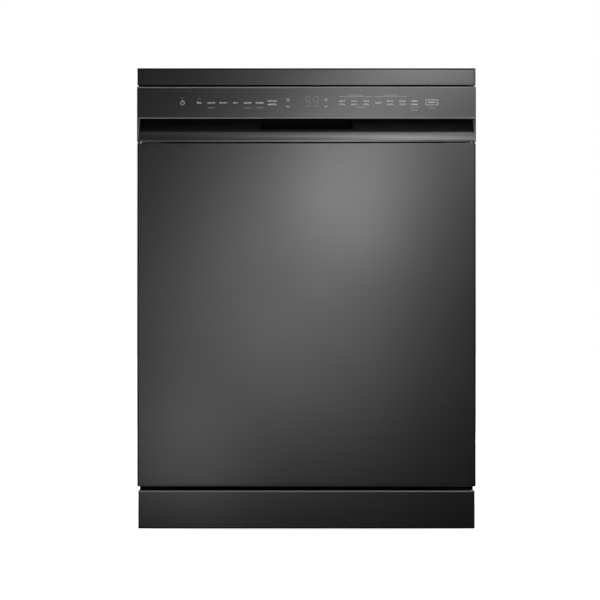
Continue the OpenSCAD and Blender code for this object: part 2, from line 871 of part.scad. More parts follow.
module drain_outlet() {
    color("#5a5d61") {
        block(drain_x - 20, drain_x + 20, tub_rear + 6, rear - 11, service_z - 20, service_z + 20);
        rod_y(drain_x, rear - 12, rear, service_z, 10.5);
    }
}

module cord_gland() {
    color("#1f2022") difference() {
        union() {
            block(cord_x - 20, cord_x + 20, rear - 16, rear - 11, service_z - 20, service_z + 20);
            rod_y(cord_x, rear - 12, rear - 3, service_z, 11);
        }
        rod_y(cord_x, rear - 17, rear, service_z, 5);
    }
}

base_pan();
side_panel_left();
side_panel_right();
rear_panel();
worktop_lid();
worktop_trim();
top_brace();
plinth_panel();
tub_wrapper();
tub_floor();
door_gasket();
latch_striker();
hinge_brackets();
door_springs();
rails_fixed();
water_riser();
sump_housing();
filter_plate();
softener_tank();
pump_housing();
drain_pump_housing();
inlet_valve();
drain_outlet();
cord_gland();
door_outer_panel();
handle_scoop();
handle_end_caps();
control_panel();
display_window();
control_board();
door_liner();
door_frame();
door_insulation();
door_screws();
latch_body();
dispenser_body();
latch_pawl();
detergent_lid();
rinse_aid_cap();
foot_front_left();
foot_front_right();
foot_rear_left();
foot_rear_right();
lower_basket();
lower_wheels_front();
lower_wheels_rear();
lower_tines_left();
lower_tines_mid();
cutlery_basket();
upper_basket();
upper_feed_tube();
rails_middle();
cup_shelf_left();
cup_shelf_right();
lower_spray_arm();
upper_spray_arm();
ceiling_sprinkler();
filter_cup();
salt_cap();
pump_rotor();
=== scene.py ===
"""The looks of an under-counter dishwasher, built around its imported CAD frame.

Shapes are worked out in millimetres from the boxes of the CAD nodes and become metres in Piece.make().
X runs across the front, -Y is the front and Z is up.
"""
import json
import math
import random

import bmesh
import bpy
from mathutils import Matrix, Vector

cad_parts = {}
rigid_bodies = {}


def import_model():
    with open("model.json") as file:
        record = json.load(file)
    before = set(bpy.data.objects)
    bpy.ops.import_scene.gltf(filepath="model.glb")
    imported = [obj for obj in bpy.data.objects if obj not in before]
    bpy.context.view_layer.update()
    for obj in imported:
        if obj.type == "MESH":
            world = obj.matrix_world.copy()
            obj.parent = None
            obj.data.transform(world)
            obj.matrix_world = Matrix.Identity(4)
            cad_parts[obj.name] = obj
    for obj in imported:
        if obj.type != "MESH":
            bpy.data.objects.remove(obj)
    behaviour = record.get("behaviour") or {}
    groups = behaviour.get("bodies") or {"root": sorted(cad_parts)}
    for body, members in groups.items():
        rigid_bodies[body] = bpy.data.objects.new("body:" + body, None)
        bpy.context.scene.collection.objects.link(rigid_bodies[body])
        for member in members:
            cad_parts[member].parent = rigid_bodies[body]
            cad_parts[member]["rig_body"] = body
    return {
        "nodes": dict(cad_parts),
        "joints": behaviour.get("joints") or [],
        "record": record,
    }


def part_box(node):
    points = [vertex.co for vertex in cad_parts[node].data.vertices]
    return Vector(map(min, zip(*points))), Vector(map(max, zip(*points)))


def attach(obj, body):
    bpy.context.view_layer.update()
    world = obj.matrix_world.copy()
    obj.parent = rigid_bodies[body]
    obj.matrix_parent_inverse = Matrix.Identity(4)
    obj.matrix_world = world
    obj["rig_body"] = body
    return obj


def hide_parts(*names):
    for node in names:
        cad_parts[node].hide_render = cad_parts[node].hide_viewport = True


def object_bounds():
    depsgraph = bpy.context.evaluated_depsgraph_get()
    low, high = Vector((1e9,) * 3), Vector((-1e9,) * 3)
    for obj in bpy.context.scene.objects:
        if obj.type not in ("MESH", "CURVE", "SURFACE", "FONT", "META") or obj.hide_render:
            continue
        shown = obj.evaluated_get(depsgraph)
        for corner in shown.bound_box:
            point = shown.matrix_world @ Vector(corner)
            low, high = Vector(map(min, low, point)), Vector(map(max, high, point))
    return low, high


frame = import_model()
cad_low, cad_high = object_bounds()

MM = 0.001
SHARP_ANGLE = math.radians(38)
X, Y, Z = 0, 1, 2


# ---- places taken from the frame ----

def corners(node):
    """Lowest and highest corner of a CAD node at rest, in millimetres."""
    low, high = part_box(node)
    return low / MM, high / MM


def body_of(node):
    return frame["nodes"][node]["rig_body"]


def middle(node):
    low, high = corners(node)
    return (low + high) / 2


# ---- outlines ----

def arc(a, b, radius, start, end, steps):
    """Points on an arc about (a, b), from one angle to another in degrees, both ends included."""
    turns = [math.radians(start + (end - start) * i / steps) for i in range(steps + 1)]
    return [(a + radius * math.cos(t), b + radius * math.sin(t)) for t in turns]


def round_rect(a0, a1, b0, b1, radius, steps=4):
    """A closed rectangle with round corners."""
    r = max(min(radius, (a1 - a0) / 2 - 0.01, (b1 - b0) / 2 - 0.01), 0.01)
    return (arc(a1 - r, b1 - r, r, 0, 90, steps) + arc(a0 + r, b1 - r, r, 90, 180, steps)
            + arc(a0 + r, b0 + r, r, 180, 270, steps) + arc(a1 - r, b0 + r, r, 270, 360, steps))


def circle(a, b, radius, count=32):
    turns = [math.tau * i / count for i in range(count)]
    return [(a + radius * math.cos(t), b + radius * math.sin(t)) for t in turns]


def at_y(outline, y):
    """An (x, z) outline set at a depth."""
    return [(a, y, b) for a, b in outline]


def at_z(outline, z):
    """An (x, y) outline set at a height."""
    return [(a, b, z) for a, b in outline]


def span(side, inner, outer):
    """Lower and higher x of a stretch on the left (-1) or the right (1)."""
    return sorted((side * inner, side * outer))


def arch(half, top, radius, foot, steps=6, climbs=1):
    """An open path (x, z) up the left side, over the top and down the right side."""
    rise = [foot + (top - radius - foot) * i / climbs for i in range(climbs)]
    left = [(-half, z) for z in rise] + arc(-half + radius, top - radius, radius, 180, 90, steps)
    return left + [(-x, z) for x, z in reversed(left)]


def spaced(start, end, step):
    """Even places from start to end, at most step apart."""
    count = max(1, math.ceil((end - start) / step - 1e-6))
    return [start + (end - start) * i / count for i in range(count + 1)]


def graded(stops, coarse, fine, reach):
    """Places from the first stop to the last, fine within reach of every inner stop."""
    places = {round(p, 3) for p in spaced(stops[0], stops[-1], coarse)}
    for s in stops[1:-1]:
        places = {p for p in places if abs(p - s) > reach}
    for s in stops[1:-1]:
        places |= {round(p, 3) for p in spaced(max(s - reach, stops[0]), min(s + reach, stops[-1]), fine)}
    places |= {round(s, 3) for s in stops}
    kept = []
    for p in sorted(places):
        if kept and p - kept[-1] < 0.4 * fine and p not in stops:
            continue
        if kept and p - kept[-1] < 0.4 * fine:
            kept.pop()
        kept.append(p)
    return kept


def smooth(t):
    t = max(0.0, min(1.0, t))
    return t * t * (3 - 2 * t)


def turned(point, axis):
    """A point drawn as (a, b, along) put so that 'along' runs on the given axis."""
    a, b, c = point
    return [(c, a, b), (a, c, b), (a, b, c)][axis]


def round_corners(path, radius, steps=3):
    """A 3D path with its inner corners rounded."""
    made = [Vector(path[0])]
    for before, here, after in zip(path, path[1:], path[2:]):
        before, here, after = Vector(before), Vector(here), Vector(after)
        to_before, to_after = before - here, after - here
        reach = min(radius, to_before.length * 0.49, to_after.length * 0.49)
        a, b = here + to_before.normalized() * reach, here + to_after.normalized() * reach
        for i in range(steps + 1):
            t = i / steps
            made.append(a * (1 - t) ** 2 + here * 2 * t * (1 - t) + b * t * t)
    return made + [Vector(path[-1])]


# ---- building ----

class Piece:
    """Points in millimetres and faces, gathered from closed shapes before they become one object."""

    def __init__(self):
        self.points = []
        self.faces = []
        self.bevelled = []

    def add(self, points, faces, bevel=0.0):
        start = len(self.points)
        self.points += [tuple(p) for p in points]
        self.faces += [[start + i for i in f] for f in faces]
        if bevel:
            self.bevelled.append((start, len(self.points), bevel))
        return self

    def loft(self, rings, loop=False, bevel=0.0, shift=0):
        """Joins rings with the same number of points; a loop's last join may turn by some points."""
        count = len(rings[0])
        points = [p for ring in rings for p in ring]
        faces = []
        for i in range(len(rings) if loop else len(rings) - 1):
            a, b = i * count, (i + 1) % len(rings) * count
            skip = 0 if b else shift
            faces += [(a + j, a + (j + 1) % count, b + (j + 1 + skip) % count, b + (j + skip) % count)
                      for j in range(count)]
        if not loop:
            faces += [tuple(reversed(range(count))), tuple(range(len(points) - count, len(points)))]
        return self.add(points, faces, bevel)

    def prism(self, outline, axis, c0, c1, bevel=0.0):
        """An outline extruded along an axis: (y, z) along X, (x, z) along Y, (x, y) along Z."""
        return self.loft([[turned((a, b, c), axis) for a, b in outline] for c in (c0, c1)], bevel=bevel)

    def pad(self, low, high, radius, edge=1.0, axis=Z, steps=4):
        """A block with round corners in the plane across its axis and rounded edges at both ends."""
        spans = [(low[i], high[i]) for i in range(3)]
        c0, c1 = spans.pop(axis)
        (a0, a1), (b0, b1) = spans
        edge = min(edge, (c1 - c0) / 2, (a1 - a0) / 2 - 0.02, (b1 - b0) / 2 - 0.02)
        rings = []
        for end, sign in ((c0, 1), (c1, -1)):
            turn = []
            for i in range(3 if edge > 0.7 else 2):
                t = math.pi / 2 * i / (2 if edge > 0.7 else 1)
                inset, rise = edge * (1 - math.sin(t)), edge * (1 - math.cos(t))
                outline = round_rect(a0 + inset, a1 - inset, b0 + inset, b1 - inset,
                                     max(radius - inset, 0.1), steps)
                turn.append([turned((a, b, end + sign * rise), axis) for a, b in outline])
            rings += turn if sign > 0 else turn[::-1]
        return self.loft(rings)

    def lathe(self, profile, centre, axis=Z, count=32, loop=False):
        """A profile of (radius, height) turned round an axis through centre."""
        base = list(centre)
        along = base.pop(axis)
        return self.loft([[turned((a, b, along + h), axis) for a, b in circle(base[0], base[1], r, count)]
                          for r, h in profile], loop)

    def wire(self, path, radius, sides=6, closed=False, tips=False):
        """A round wire along a path, with domed ends where tips is set."""
        path = [Vector(p) for p in path]
        rings, normal = [], None
        last = len(path) - 1
        for i, here in enumerate(path):
            before = path[i - 1] if i or closed else here
            after = path[(i + 1) % len(path)] if i < last or closed else here
            way = (after - before).normalized()
            if normal is None:
                normal = way.orthogonal().normalized()
            normal = (normal - way * normal.dot(way)).normalized()
            other = way.cross(normal)
            ring = [normal * math.cos(math.tau * k / sides) + other * math.sin(math.tau * k / sides)
                    for k in range(sides)]
            if tips and not closed and i in (0, last):
                out = -way if i == 0 else way
                dome = [[here + v * radius * wide + out * radius * far for v in ring]
                        for wide, far in ((0.55, 0.4), (1, 0))]
                rings += dome if i == 0 else dome[::-1]
            else:
                rings.append([here + v * radius for v in ring])
        first, final = rings[0], rings[-1]
        shift = 0
        if closed:
            shift = min(range(sides), key=lambda n: sum((first[(k + n) % sides] - final[k]).length
                                                        for k in range(sides)))
        return self.loft(rings, closed, shift=shift)

    def slab(self, grid, thick, keep=None):
        """A sheet of even thickness behind a grid of points; cells that keep(i, j) refuses are left open."""
        rows, columns = len(grid), len(grid[0])
        grid = [[Vector(p) for p in row] for row in grid]
        behind = []
        for i in range(rows):
            for j in range(columns):
                along = grid[min(i + 1, rows - 1)][j] - grid[max(i - 1, 0)][j]
                across = grid[i][min(j + 1, columns - 1)] - grid[i][max(j - 1, 0)]
                behind.append(grid[i][j] + along.cross(across).normalized() * thick)
        keep = keep or (lambda i, j: True)
        cell = {(i, j) for i in range(rows - 1) for j in range(columns - 1) if keep(i, j)}
        size = rows * columns
        faces = []
        for i, j in sorted(cell):
            a, d = i * columns + j, (i + 1) * columns + j
            b, c = a + 1, d + 1
            faces += [(a, b, c, d), (d + size, c + size, b + size, a + size)]
            sides = ((i - 1, j), a, b), ((i, j + 1), b, c), ((i + 1, j), c, d), ((i, j - 1), d, a)
            for near, p, q in sides:
                if near not in cell:
                    faces.append((q, p, p + size, q + size))
        used = sorted({k for f in faces for k in f})
        place = {k: n for n, k in enumerate(used)}
        points = [p for row in grid for p in row] + behind
        return self.add([points[k] for k in used], [[place[k] for k in f] for f in faces])

    def make(self, name, body, slot, replaces=(), finish=None):
        """Makes an object on a body; its slot picks the material unless a finish is named."""
        mesh = bpy.data.meshes.new(name)
        shape = bmesh.new()
        points = [shape.verts.new(Vector(p) * MM) for p in self.points]
        for face in self.faces:
            shape.faces.new([points[i] for i in face])
        shape.verts.index_update()
        for start, end, width in self.bevelled:
            bevel_edges(shape, points[start:end], width)
        bmesh.ops.recalc_face_normals(shape, faces=shape.faces)
        for face in shape.faces:
            face.smooth = True
        for edge in shape.edges:
            edge.smooth = len(edge.link_faces) == 2 and edge.calc_face_angle(0) < SHARP_ANGLE
        shape.to_mesh(mesh)
        shape.free()
        mesh.materials.append(FINISH[finish or SLOT_FINISH[slot]])
        made = bpy.data.objects.new(name, mesh)
        bpy.context.scene.collection.objects.link(made)
        even = made.modifiers.new("even_shading", "WEIGHTED_NORMAL")
        even.keep_sharp = True
        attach(made, body)
        if replaces:
            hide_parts(*replaces)


def bevel_edges(shape, points, width):
    """Rounds the sharp edges of the part of a shape that these points belong to."""
    group = set(points)
    edges = [e for e in shape.edges if e.verts[0] in group and e.verts[1] in group
             and len(e.link_faces) == 2 and e.calc_face_angle(0) > SHARP_ANGLE]
    bmesh.ops.bevel(shape, geom=edges, offset=width * MM, segments=2, profile=0.5, affect="EDGES",
                    clamp_overlap=True)


# ---- materials ----

def node_of(tree, kind, **values):
    made = tree.nodes.new("ShaderNode" + kind)
    for key, value in values.items():
        made.inputs[key.replace("_", " ")].default_value = value
    return made


def noise_in(tree, scale, stretch=(1, 1, 1), detail=3.0, rough=0.55):
    """A noise texture in the object's own space, in features per metre."""
    place = tree.nodes.new("ShaderNodeTexCoord")
    spread = node_of(tree, "Mapping", Scale=stretch)
    noise = node_of(tree, "TexNoise", Scale=scale, Detail=detail, Roughness=rough)
    tree.links.new(place.outputs["Object"], spread.inputs["Vector"])
    tree.links.new(spread.outputs["Vector"], noise.inputs["Vector"])
    return noise.outputs["Fac"]


def ramp(tree, source, low, high, start=0.3, end=0.7):
    """A colour that goes from low to high as the source goes from start to end."""
    made = tree.nodes.new("ShaderNodeValToRGB")
    stops = made.color_ramp.elements
    stops[0].position, stops[0].color = start, (*low, 1)
    stops[1].position, stops[1].color = end, (*high, 1)
    tree.links.new(source, made.inputs["Fac"])
    return made.outputs["Color"]


def spread_to(tree, source, low, high):
    made = node_of(tree, "MapRange", From_Min=0.3, From_Max=0.7, To_Min=low, To_Max=high)
    tree.links.new(source, made.inputs["Value"])
    return made.outputs["Result"]


def relief(tree, source, depth):
    """Bump whose height in metres is depth."""
    made = node_of(tree, "Bump", Strength=1.0, Distance=depth)
    tree.links.new(source, made.inputs["Height"])
    return made.outputs["Normal"]


def shaded(name, colours, rough, **sockets):
    """A material and its node tree; colours and rough are spans that a pattern moves within."""
    made = bpy.data.materials.new(name)
    made.use_nodes = True
    shader = made.node_tree.nodes["Principled BSDF"]
    shader.inputs["Base Color"].default_value = (*colours[0], 1)
    shader.inputs["Roughness"].default_value = rough[0]
    for key, value in sockets.items():
        shader.inputs[key.replace("_", " ")].default_value = value
    return made, made.node_tree, shader


def patterned(colours, rough, scale, depth, stretch=(1, 1, 1), detail=3.0, **sockets):
    """A material whose colour, gloss and relief follow one noise, with slow wear-like drift in its gloss."""
    made, tree, shader = shaded("patterned", colours, rough, **sockets)
    fine = noise_in(tree, scale, stretch, detail)
    tree.links.new(ramp(tree, fine, *colours), shader.inputs["Base Color"])
    drift = noise_in(tree, 9, (1, 1, 1), 2)
    mixed = node_of(tree, "Math")
    mixed.operation = "MULTIPLY_ADD"
    mixed.inputs[1].default_value = 0.5
    tree.links.new(fine, mixed.inputs[0])
    halved = node_of(tree, "Math")
    halved.operation = "MULTIPLY"
    halved.inputs[1].default_value = 0.5
    tree.links.new(drift, halved.inputs[0])
    tree.links.new(halved.outputs[0], mixed.inputs[2])
    tree.links.new(spread_to(tree, mixed.outputs[0], *rough), shader.inputs["Roughness"])
    if depth:
        tree.links.new(relief(tree, fine, depth), shader.inputs["Normal"])
    return made


def grey(value, warm=0.0):
    return (value * (1 + warm), value, value * (1 - warm))


BRUSHED_X = (6, 260, 260)
FINE_BRUSHED_X = (1.2, 420, 420)
FINISH = {
    "front_steel": patterned((grey(0.1), grey(0.112)), (0.3, 0.34), 5, 0.000004, FINE_BRUSHED_X,
        Metallic=1.0),
    "scoop_steel": patterned((grey(0.115), grey(0.125)), (0.33, 0.36), 5, 0.000003, FINE_BRUSHED_X,
        Metallic=1.0),
    "side_steel": patterned((grey(0.055), grey(0.066)), (0.42, 0.5), 900, 0.00002, Metallic=0.35),
    "laminate": patterned((grey(0.036), grey(0.058)), (0.4, 0.52), 1400, 0.00003, detail=5.0),
    "trim": patterned((grey(0.07), grey(0.082)), (0.3, 0.36), 700, 0.00001, Metallic=0.8),
    "cap": patterned((grey(0.2), grey(0.24)), (0.26, 0.34), 600, 0.00001, Metallic=0.9),
    "tub_steel": patterned((grey(0.6, 0.012), grey(0.66, 0.012)), (0.26, 0.34), 5, 0.000004, BRUSHED_X,
        Metallic=1.0),
    "zinc": patterned((grey(0.36, -0.02), grey(0.52, -0.02)), (0.36, 0.5), 70, 0.00002, detail=1.0,
        Metallic=1.0),
    "spring": patterned((grey(0.4), grey(0.5)), (0.25, 0.35), 800, 0.00001, Metallic=1.0),
    "rubber": patterned((grey(0.02), grey(0.03)), (0.55, 0.7), 900, 0.00004),
    "black_plastic": patterned((grey(0.018), grey(0.026)), (0.42, 0.55), 1600, 0.00004),
    "grey_plastic": patterned((grey(0.33, -0.015), grey(0.38, -0.015)), (0.36, 0.46), 1500, 0.00003),
    "floor_plastic": patterned((grey(0.32, -0.01), grey(0.37, -0.01)), (0.32, 0.42), 1200, 0.00003),
    "white_plastic": patterned((grey(0.5, 0.02), grey(0.56, 0.02)), (0.35, 0.45), 1300, 0.00003),
    "blue_cap": patterned(((0.07, 0.2, 0.42), (0.09, 0.24, 0.48)), (0.36, 0.46), 1500, 0.00003),
    "rack_wire": patterned((grey(0.38, -0.01), grey(0.44, -0.01)), (0.3, 0.4), 700, 0.00002,
        Coat_Weight=0.4, Coat_Roughness=0.25),
    "felt": patterned(((0.06, 0.05, 0.042), (0.12, 0.1, 0.085)), (0.85, 0.95), 1100, 0.0003, detail=8.0,
        Sheen_Weight=0.4),
    "board": patterned(((0.012, 0.09, 0.035), (0.02, 0.13, 0.05)), (0.3, 0.45), 420, 0.00004, detail=1.0),
    "glass": patterned((grey(0.1), grey(0.112)), (0.3, 0.34), 5, 0.000002, FINE_BRUSHED_X, Metallic=1.0),
    "light_plastic": patterned((grey(0.48, -0.01), grey(0.54, -0.01)), (0.34, 0.44), 1500, 0.00003),
    "print": patterned((grey(0.62), grey(0.68)), (0.5, 0.6), 2500, 0),
    "print_dim": patterned((grey(0.34), grey(0.38)), (0.5, 0.6), 2500, 0),
    # A lighter copy of the front's steel for thin edge strips: painted highlight along those edges.
    "highlight_edge": patterned((grey(0.17), grey(0.2)), (0.4, 0.48), 700, 0.00001, Metallic=0.4),
    # Near-black and barely reflecting: painted shade for a pocket, a gap and dark lines that look black only
    # through shade.
    "shade_black": patterned((grey(0.003), grey(0.005)), (0.8, 0.9), 900, 0.00003, Specular_IOR_Level=0.1),
}
for finish_name, material in FINISH.items():
    material.name = finish_name


def lit(name, colour, strength):
    """Back-lit print: a dim glow whose evenness drifts a little."""
    made, tree, shader = shaded(name, (grey(0.03), grey(0.04)), (0.4, 0.5), Emission_Strength=strength)
    patches = noise_in(tree, 700, detail=1.0)
    tree.links.new(ramp(tree, patches, [c * 0.9 for c in colour], colour), shader.inputs["Emission Color"])
    return made


FINISH["digit"] = lit("digit", grey(0.3), 0.42)


def perforated():
    """Stainless mesh: a grid of small dark holes."""
    made, tree, shader = shaded("perforated_steel", (grey(0.5), grey(0.5)), (0.3, 0.3), Metallic=1.0)
    place = tree.nodes.new("ShaderNodeTexCoord")
    dots = node_of(tree, "TexVoronoi", Scale=360.0, Randomness=0.0)
    tree.links.new(place.outputs["Object"], dots.inputs["Vector"])
    tree.links.new(ramp(tree, dots.outputs["Distance"], grey(0.03), grey(0.55), 0.34, 0.4),
                   shader.inputs["Base Color"])
    tree.links.new(relief(tree, dots.outputs["Distance"], 0.0003), shader.inputs["Normal"])
    return made


FINISH["perforated"] = perforated()

SLOT_FINISH = {
    "black_steel": "side_steel", "black_trim": "trim", "grey_trim": "cap", "lid_laminate": "laminate",
    "zinc_steel": "zinc", "tub_steel": "tub_steel", "spring_steel": "spring", "seal_rubber": "rubber",
    "black_plastic": "black_plastic", "grey_plastic": "grey_plastic", "white_plastic": "white_plastic",
    "floor_plastic": "floor_plastic", "rack_wire": "rack_wire", "felt": "felt",
    "circuit_board": "board", "display_glass": "glass",
}


# ---- front ----

door_low, door_high = corners("door_outer_panel")
front_y = door_low.y
hinge = next(j for j in frame["joints"] if j["name"] == "door_hinge")
hinge_y, hinge_z = hinge["pos_m"][1] / MM, hinge["pos_m"][2] / MM
roll = corners("door_liner")[1].y - hinge_y
HALF = door_high.x
SHEET = 1.0


def folded(half, front, back_at, levels, bend=3.0):
    """Rings of a U-shaped sheet seen from above; back_at gives where its flanges end at each height."""
    rings = []
    for z, inset in levels:
        back, edge, nose = back_at(z), half - inset, front + inset
        inner = arc(edge - bend, nose + bend, bend - SHEET, -90, 0, 5)
        right = [(edge, back)] + arc(edge - bend, nose + bend, bend, 0, -90, 5)
        left_in = [(-x, y) for x, y in inner[::-1]]
        left_out = [(-x, y) for x, y in right[::-1]]
        ring = right + left_out + [(SHEET - edge, back)] + left_in + inner + [(edge - SHEET, back)]
        rings.append(at_z(ring, z))
    return rings


def edge_levels(z0, z1, radius, between=()):
    """Heights with an inset that rounds off both ends."""
    turns = [(radius * (1 - math.cos(t)), radius * (1 - math.sin(t)))
             for t in (0.0, math.pi / 6, math.pi / 3, math.pi / 2)]
    return ([(z0 + up, k) for up, k in turns] + [(z, 0) for z in between]
            + [(z1 - up, k) for up, k in turns[::-1]])


def door_flange_end(z):
    """The side flange follows the rolled lower end of the liner."""
    notch = hinge_y - 8
    if z >= hinge_z:
        return door_high.y
    reach = roll ** 2 - (hinge_z - z) ** 2
    swept = hinge_y + math.sqrt(reach) if reach > 0 else notch
    return min(max(swept, notch), door_high.y)


def outer_door():
    door = Piece()
    bends = sorted({hinge_z - roll * math.sin(math.radians(a)) for a in range(0, 71, 10)}
                   | {hinge_z, hinge_z - math.sqrt(roll ** 2 - 64), hinge_z - roll - 0.2})
    levels = edge_levels(door_low.z, door_high.z, 1.6, [z for z in bends if z > door_low.z + 2])
    door.loft(folded(HALF, front_y, door_flange_end, levels))
    for z in (door_low.z + 0.3, door_high.z - 1.3):
        door.pad((-HALF + 1, front_y + 1, z), (HALF - 1, front_y + 14, z + 1), 2, 0.3)
    door.make("door_skin", "door", "black_steel", ["door_outer_panel"], finish="front_steel")


scoop_low, scoop_high = corners("handle_scoop")
LIP = 29.6
HOLLOW = 67.3
hollow_y, hollow_z = front_y - 39.5, scoop_low.z + 68.5
lip_y, lip_z = front_y + LIP, scoop_low.z + 0.5
POCKET = 82
pocket_z = scoop_low.z + 19


def hollow_turn(z):
    """The angle at which the recess's hollow reaches a height."""
    return math.degrees(math.asin((z - hollow_z) / HOLLOW))


def recess_line(z_end):
    """The recess from the front of its lip up to the height z_end, as (y, z)."""
    meet = math.degrees(math.atan2(hollow_z - lip_z, lip_y - hollow_y))
    lip = arc(lip_y, lip_z, LIP, 180, 180 - meet, 14)
    return ([(front_y + 0.35, scoop_low.z + 0.1)] + lip[1:]
            + arc(hollow_y, hollow_z, HOLLOW, -meet, hollow_turn(z_end), 12)[1:])


def upper_recess(z_start, z_end):
    """The upper stretch of the recess between two heights, as (y, z)."""
    return arc(hollow_y, hollow_z, HOLLOW, hollow_turn(z_start), hollow_turn(z_end), 8)


def thickened(line, thick):
    """A closed outline: a line and its copy pushed towards +Y and -Z."""
    back = []
    for i, (y, z) in enumerate(line):
        a, b = line[max(i - 1, 0)], line[min(i + 1, len(line) - 1)]
        length = math.dist(a, b)
        back.append((y + (b[1] - a[1]) / length * thick, z - (b[0] - a[0]) / length * thick))
    return line + back[::-1]


def hand_recess():
    scoop = Piece().prism(thickened(recess_line(pocket_z), 2.0), X, scoop_low.x, scoop_high.x)
    upper = thickened(upper_recess(pocket_z, corners("control_panel")[0].z), 2.0)
    for side in (-1, 1):
        scoop.prism(upper, X, *span(side, POCKET, scoop_high.x))
    scoop.make("hand_recess", "door", "black_trim", ["handle_scoop"], finish="scoop_steel")


def finger_pocket():
    """The box behind the middle of the recess, open to the front; its near-black finish is painted shade."""
    box = Piece()
    z0, z1 = scoop_low.z + 17, scoop_high.z
    back = front_y + 48
    box.pad((-POCKET - 2, front_y + 23, z1 - 2), (POCKET + 2, back + 2, z1), 3, 0.6)
    box.pad((-POCKET - 2, back, z0), (POCKET + 2, back + 2, z1 - 1), 1, 0.6)
    box.pad((-POCKET - 2, front_y + 12, z0), (POCKET + 2, back + 1, z0 + 2), 1, 0.6)
    for side in (-1, 1):
        x0, x1 = span(side, POCKET, POCKET + 2)
        box.pad((x0, front_y + 10, z0), (x1, back + 1, z0 + 20), 0.5, 0.4)
        box.pad((x0, front_y + 23, z0 + 18), (x1, back + 1, z1 - 1), 0.5, 0.4)
        box.prism(thickened(upper_recess(pocket_z + 0.5, scoop_high.z - 21), 2.4), X,
                  *span(side, POCKET - 1, POCKET - 0.1))
    box.make("finger_pocket", "door", "black_trim", finish="shade_black")


def recess_caps():
    """Thin plates that close the recess at both ends; a rod on each front edge, in a lighter finish, is a
    painted highlight.
    """
    caps = Piece()
    low, high = corners("handle_end_caps")
    outline = [(front_y + 0.6, low.z), (front_y + 0.6, high.z), (high.y, high.z), (high.y, low.z)]
    edges = Piece()
    for side in (-1, 1):
        caps.prism(outline, X, *span(side, high.x, high.x - 1.5), bevel=0.3)
        foot, head = side * (high.x - 1.3), side * (high.x - 4.2)
        edges.loft([at_z(circle(x, front_y + 1.0, 0.8, 10), z)
                    for x, z in ((foot, low.z - 0.3), (head, high.z - 1.2))])
    edges.make("recess_cap_edges", "door", "grey_trim", finish="highlight_edge")
    caps.make("recess_caps", "door", "black_trim", ["handle_end_caps"], finish="black_plastic")


panel_low, panel_high = corners("control_panel")


def panel_shell():
    """The fascia: a flat front between a tight upper bend and a wider lower one."""
    shell = Piece()
    y0, y1 = front_y + 0.25, panel_high.y
    z0, z1 = panel_low.z, panel_high.z
    top, foot = 0.9, 1.4
    inside = [(y0 + 25, z0), (y0 + 25, z0 + 2), (y0 + 6, z0 + 2), (y0 + 2.5, z0 + 5.5), (y0 + 2.5, z1 - 4),
              (y0 + 4, z1 - 2), (y1, z1 - 2)]
    outline = ([(y1, z1)] + arc(y0 + top, z1 - top, top, 90, 180, 4)
               + arc(y0 + foot, z0 + foot, foot, 180, 270, 6) + inside)
    shell.prism(outline, X, -HALF, HALF, bevel=0.5)
    for side in (-1, 1):
        x0, x1 = span(side, HALF - 0.4, HALF - 2.4)
        shell.pad((x0, y0 + 3, z0 + 0.5), (x1, y1, z1 - 0.5), 2, 0.5, X)
    for x in (-220, 220):
        shell.pad((x - 8, front_y + 38, z1 - 15), (x + 8, hinge_y + roll - 1.2, z1 - 1), 2, 0.8)
    # Lighter strips along the fascia's upper and lower bends: painted highlight lines.
    edges = Piece()
    for z in (z0 + 0.2, z1 - 2.9):
        edges.pad((-HALF + 0.8, y0 - 0.2, z), (HALF - 0.8, y0 + 1.6, z + 1.9), 0.6, 0.5, X)
    edges.make("fascia_edges", "door", "grey_trim", finish="highlight_edge")
    shell.make("fascia", "door", "black_steel", ["control_panel"], finish="front_steel")


def display():
    low, high = corners("display_window")
    glass = Piece().pad((low.x, front_y + 0.15, low.z), (high.x, high.y, high.z), 2.5, 0.3, Y)
    glass.make("display_glass", "door", "display_glass", ["display_window"])


PRINT_Y = front_y + 0.2
SEGMENTS = {5: "afgcd", 9: "abcdfg"}


def stroke(piece, points, width=0.55):
    """A printed line through (x, z) points."""
    for (xa, za), (xb, zb) in zip(points, points[1:]):
        length = math.dist((xa, za), (xb, zb))
        ux, uz = (xb - xa) / length * width / 2, (zb - za) / length * width / 2
        outline = [(xa - ux + uz, za - uz - ux), (xb + ux + uz, zb + uz - ux),
                   (xb + ux - uz, zb + uz + ux), (xa - ux - uz, za - uz + ux)]
        piece.prism(outline, Y, PRINT_Y - 0.12, PRINT_Y + 0.4)


def word(piece, x, z, wide, draw, size=1.0):
    """A greeked label: rings, bars and arches in place of letters."""
    half, step, line = 1.05 * size, 2.75 * size, 0.5 * size
    count = max(2, round(wide / step))
    for i in range(count):
        at = x + (i - (count - 1) / 2) * step
        kind = draw.choice(("ring", "arch", "bar", "ring"))
        if kind == "ring":
            stroke(piece, arc(at, z, half, 0, 360, 6), line)
        elif kind == "arch":
            stroke(piece, [(at - half, z - half), (at - half, z + half), (at + half, z + half),
                           (at + half, z - half)], line)
        else:
            stroke(piece, [(at, z - half), (at, z + 2 * half)], line * 1.2)


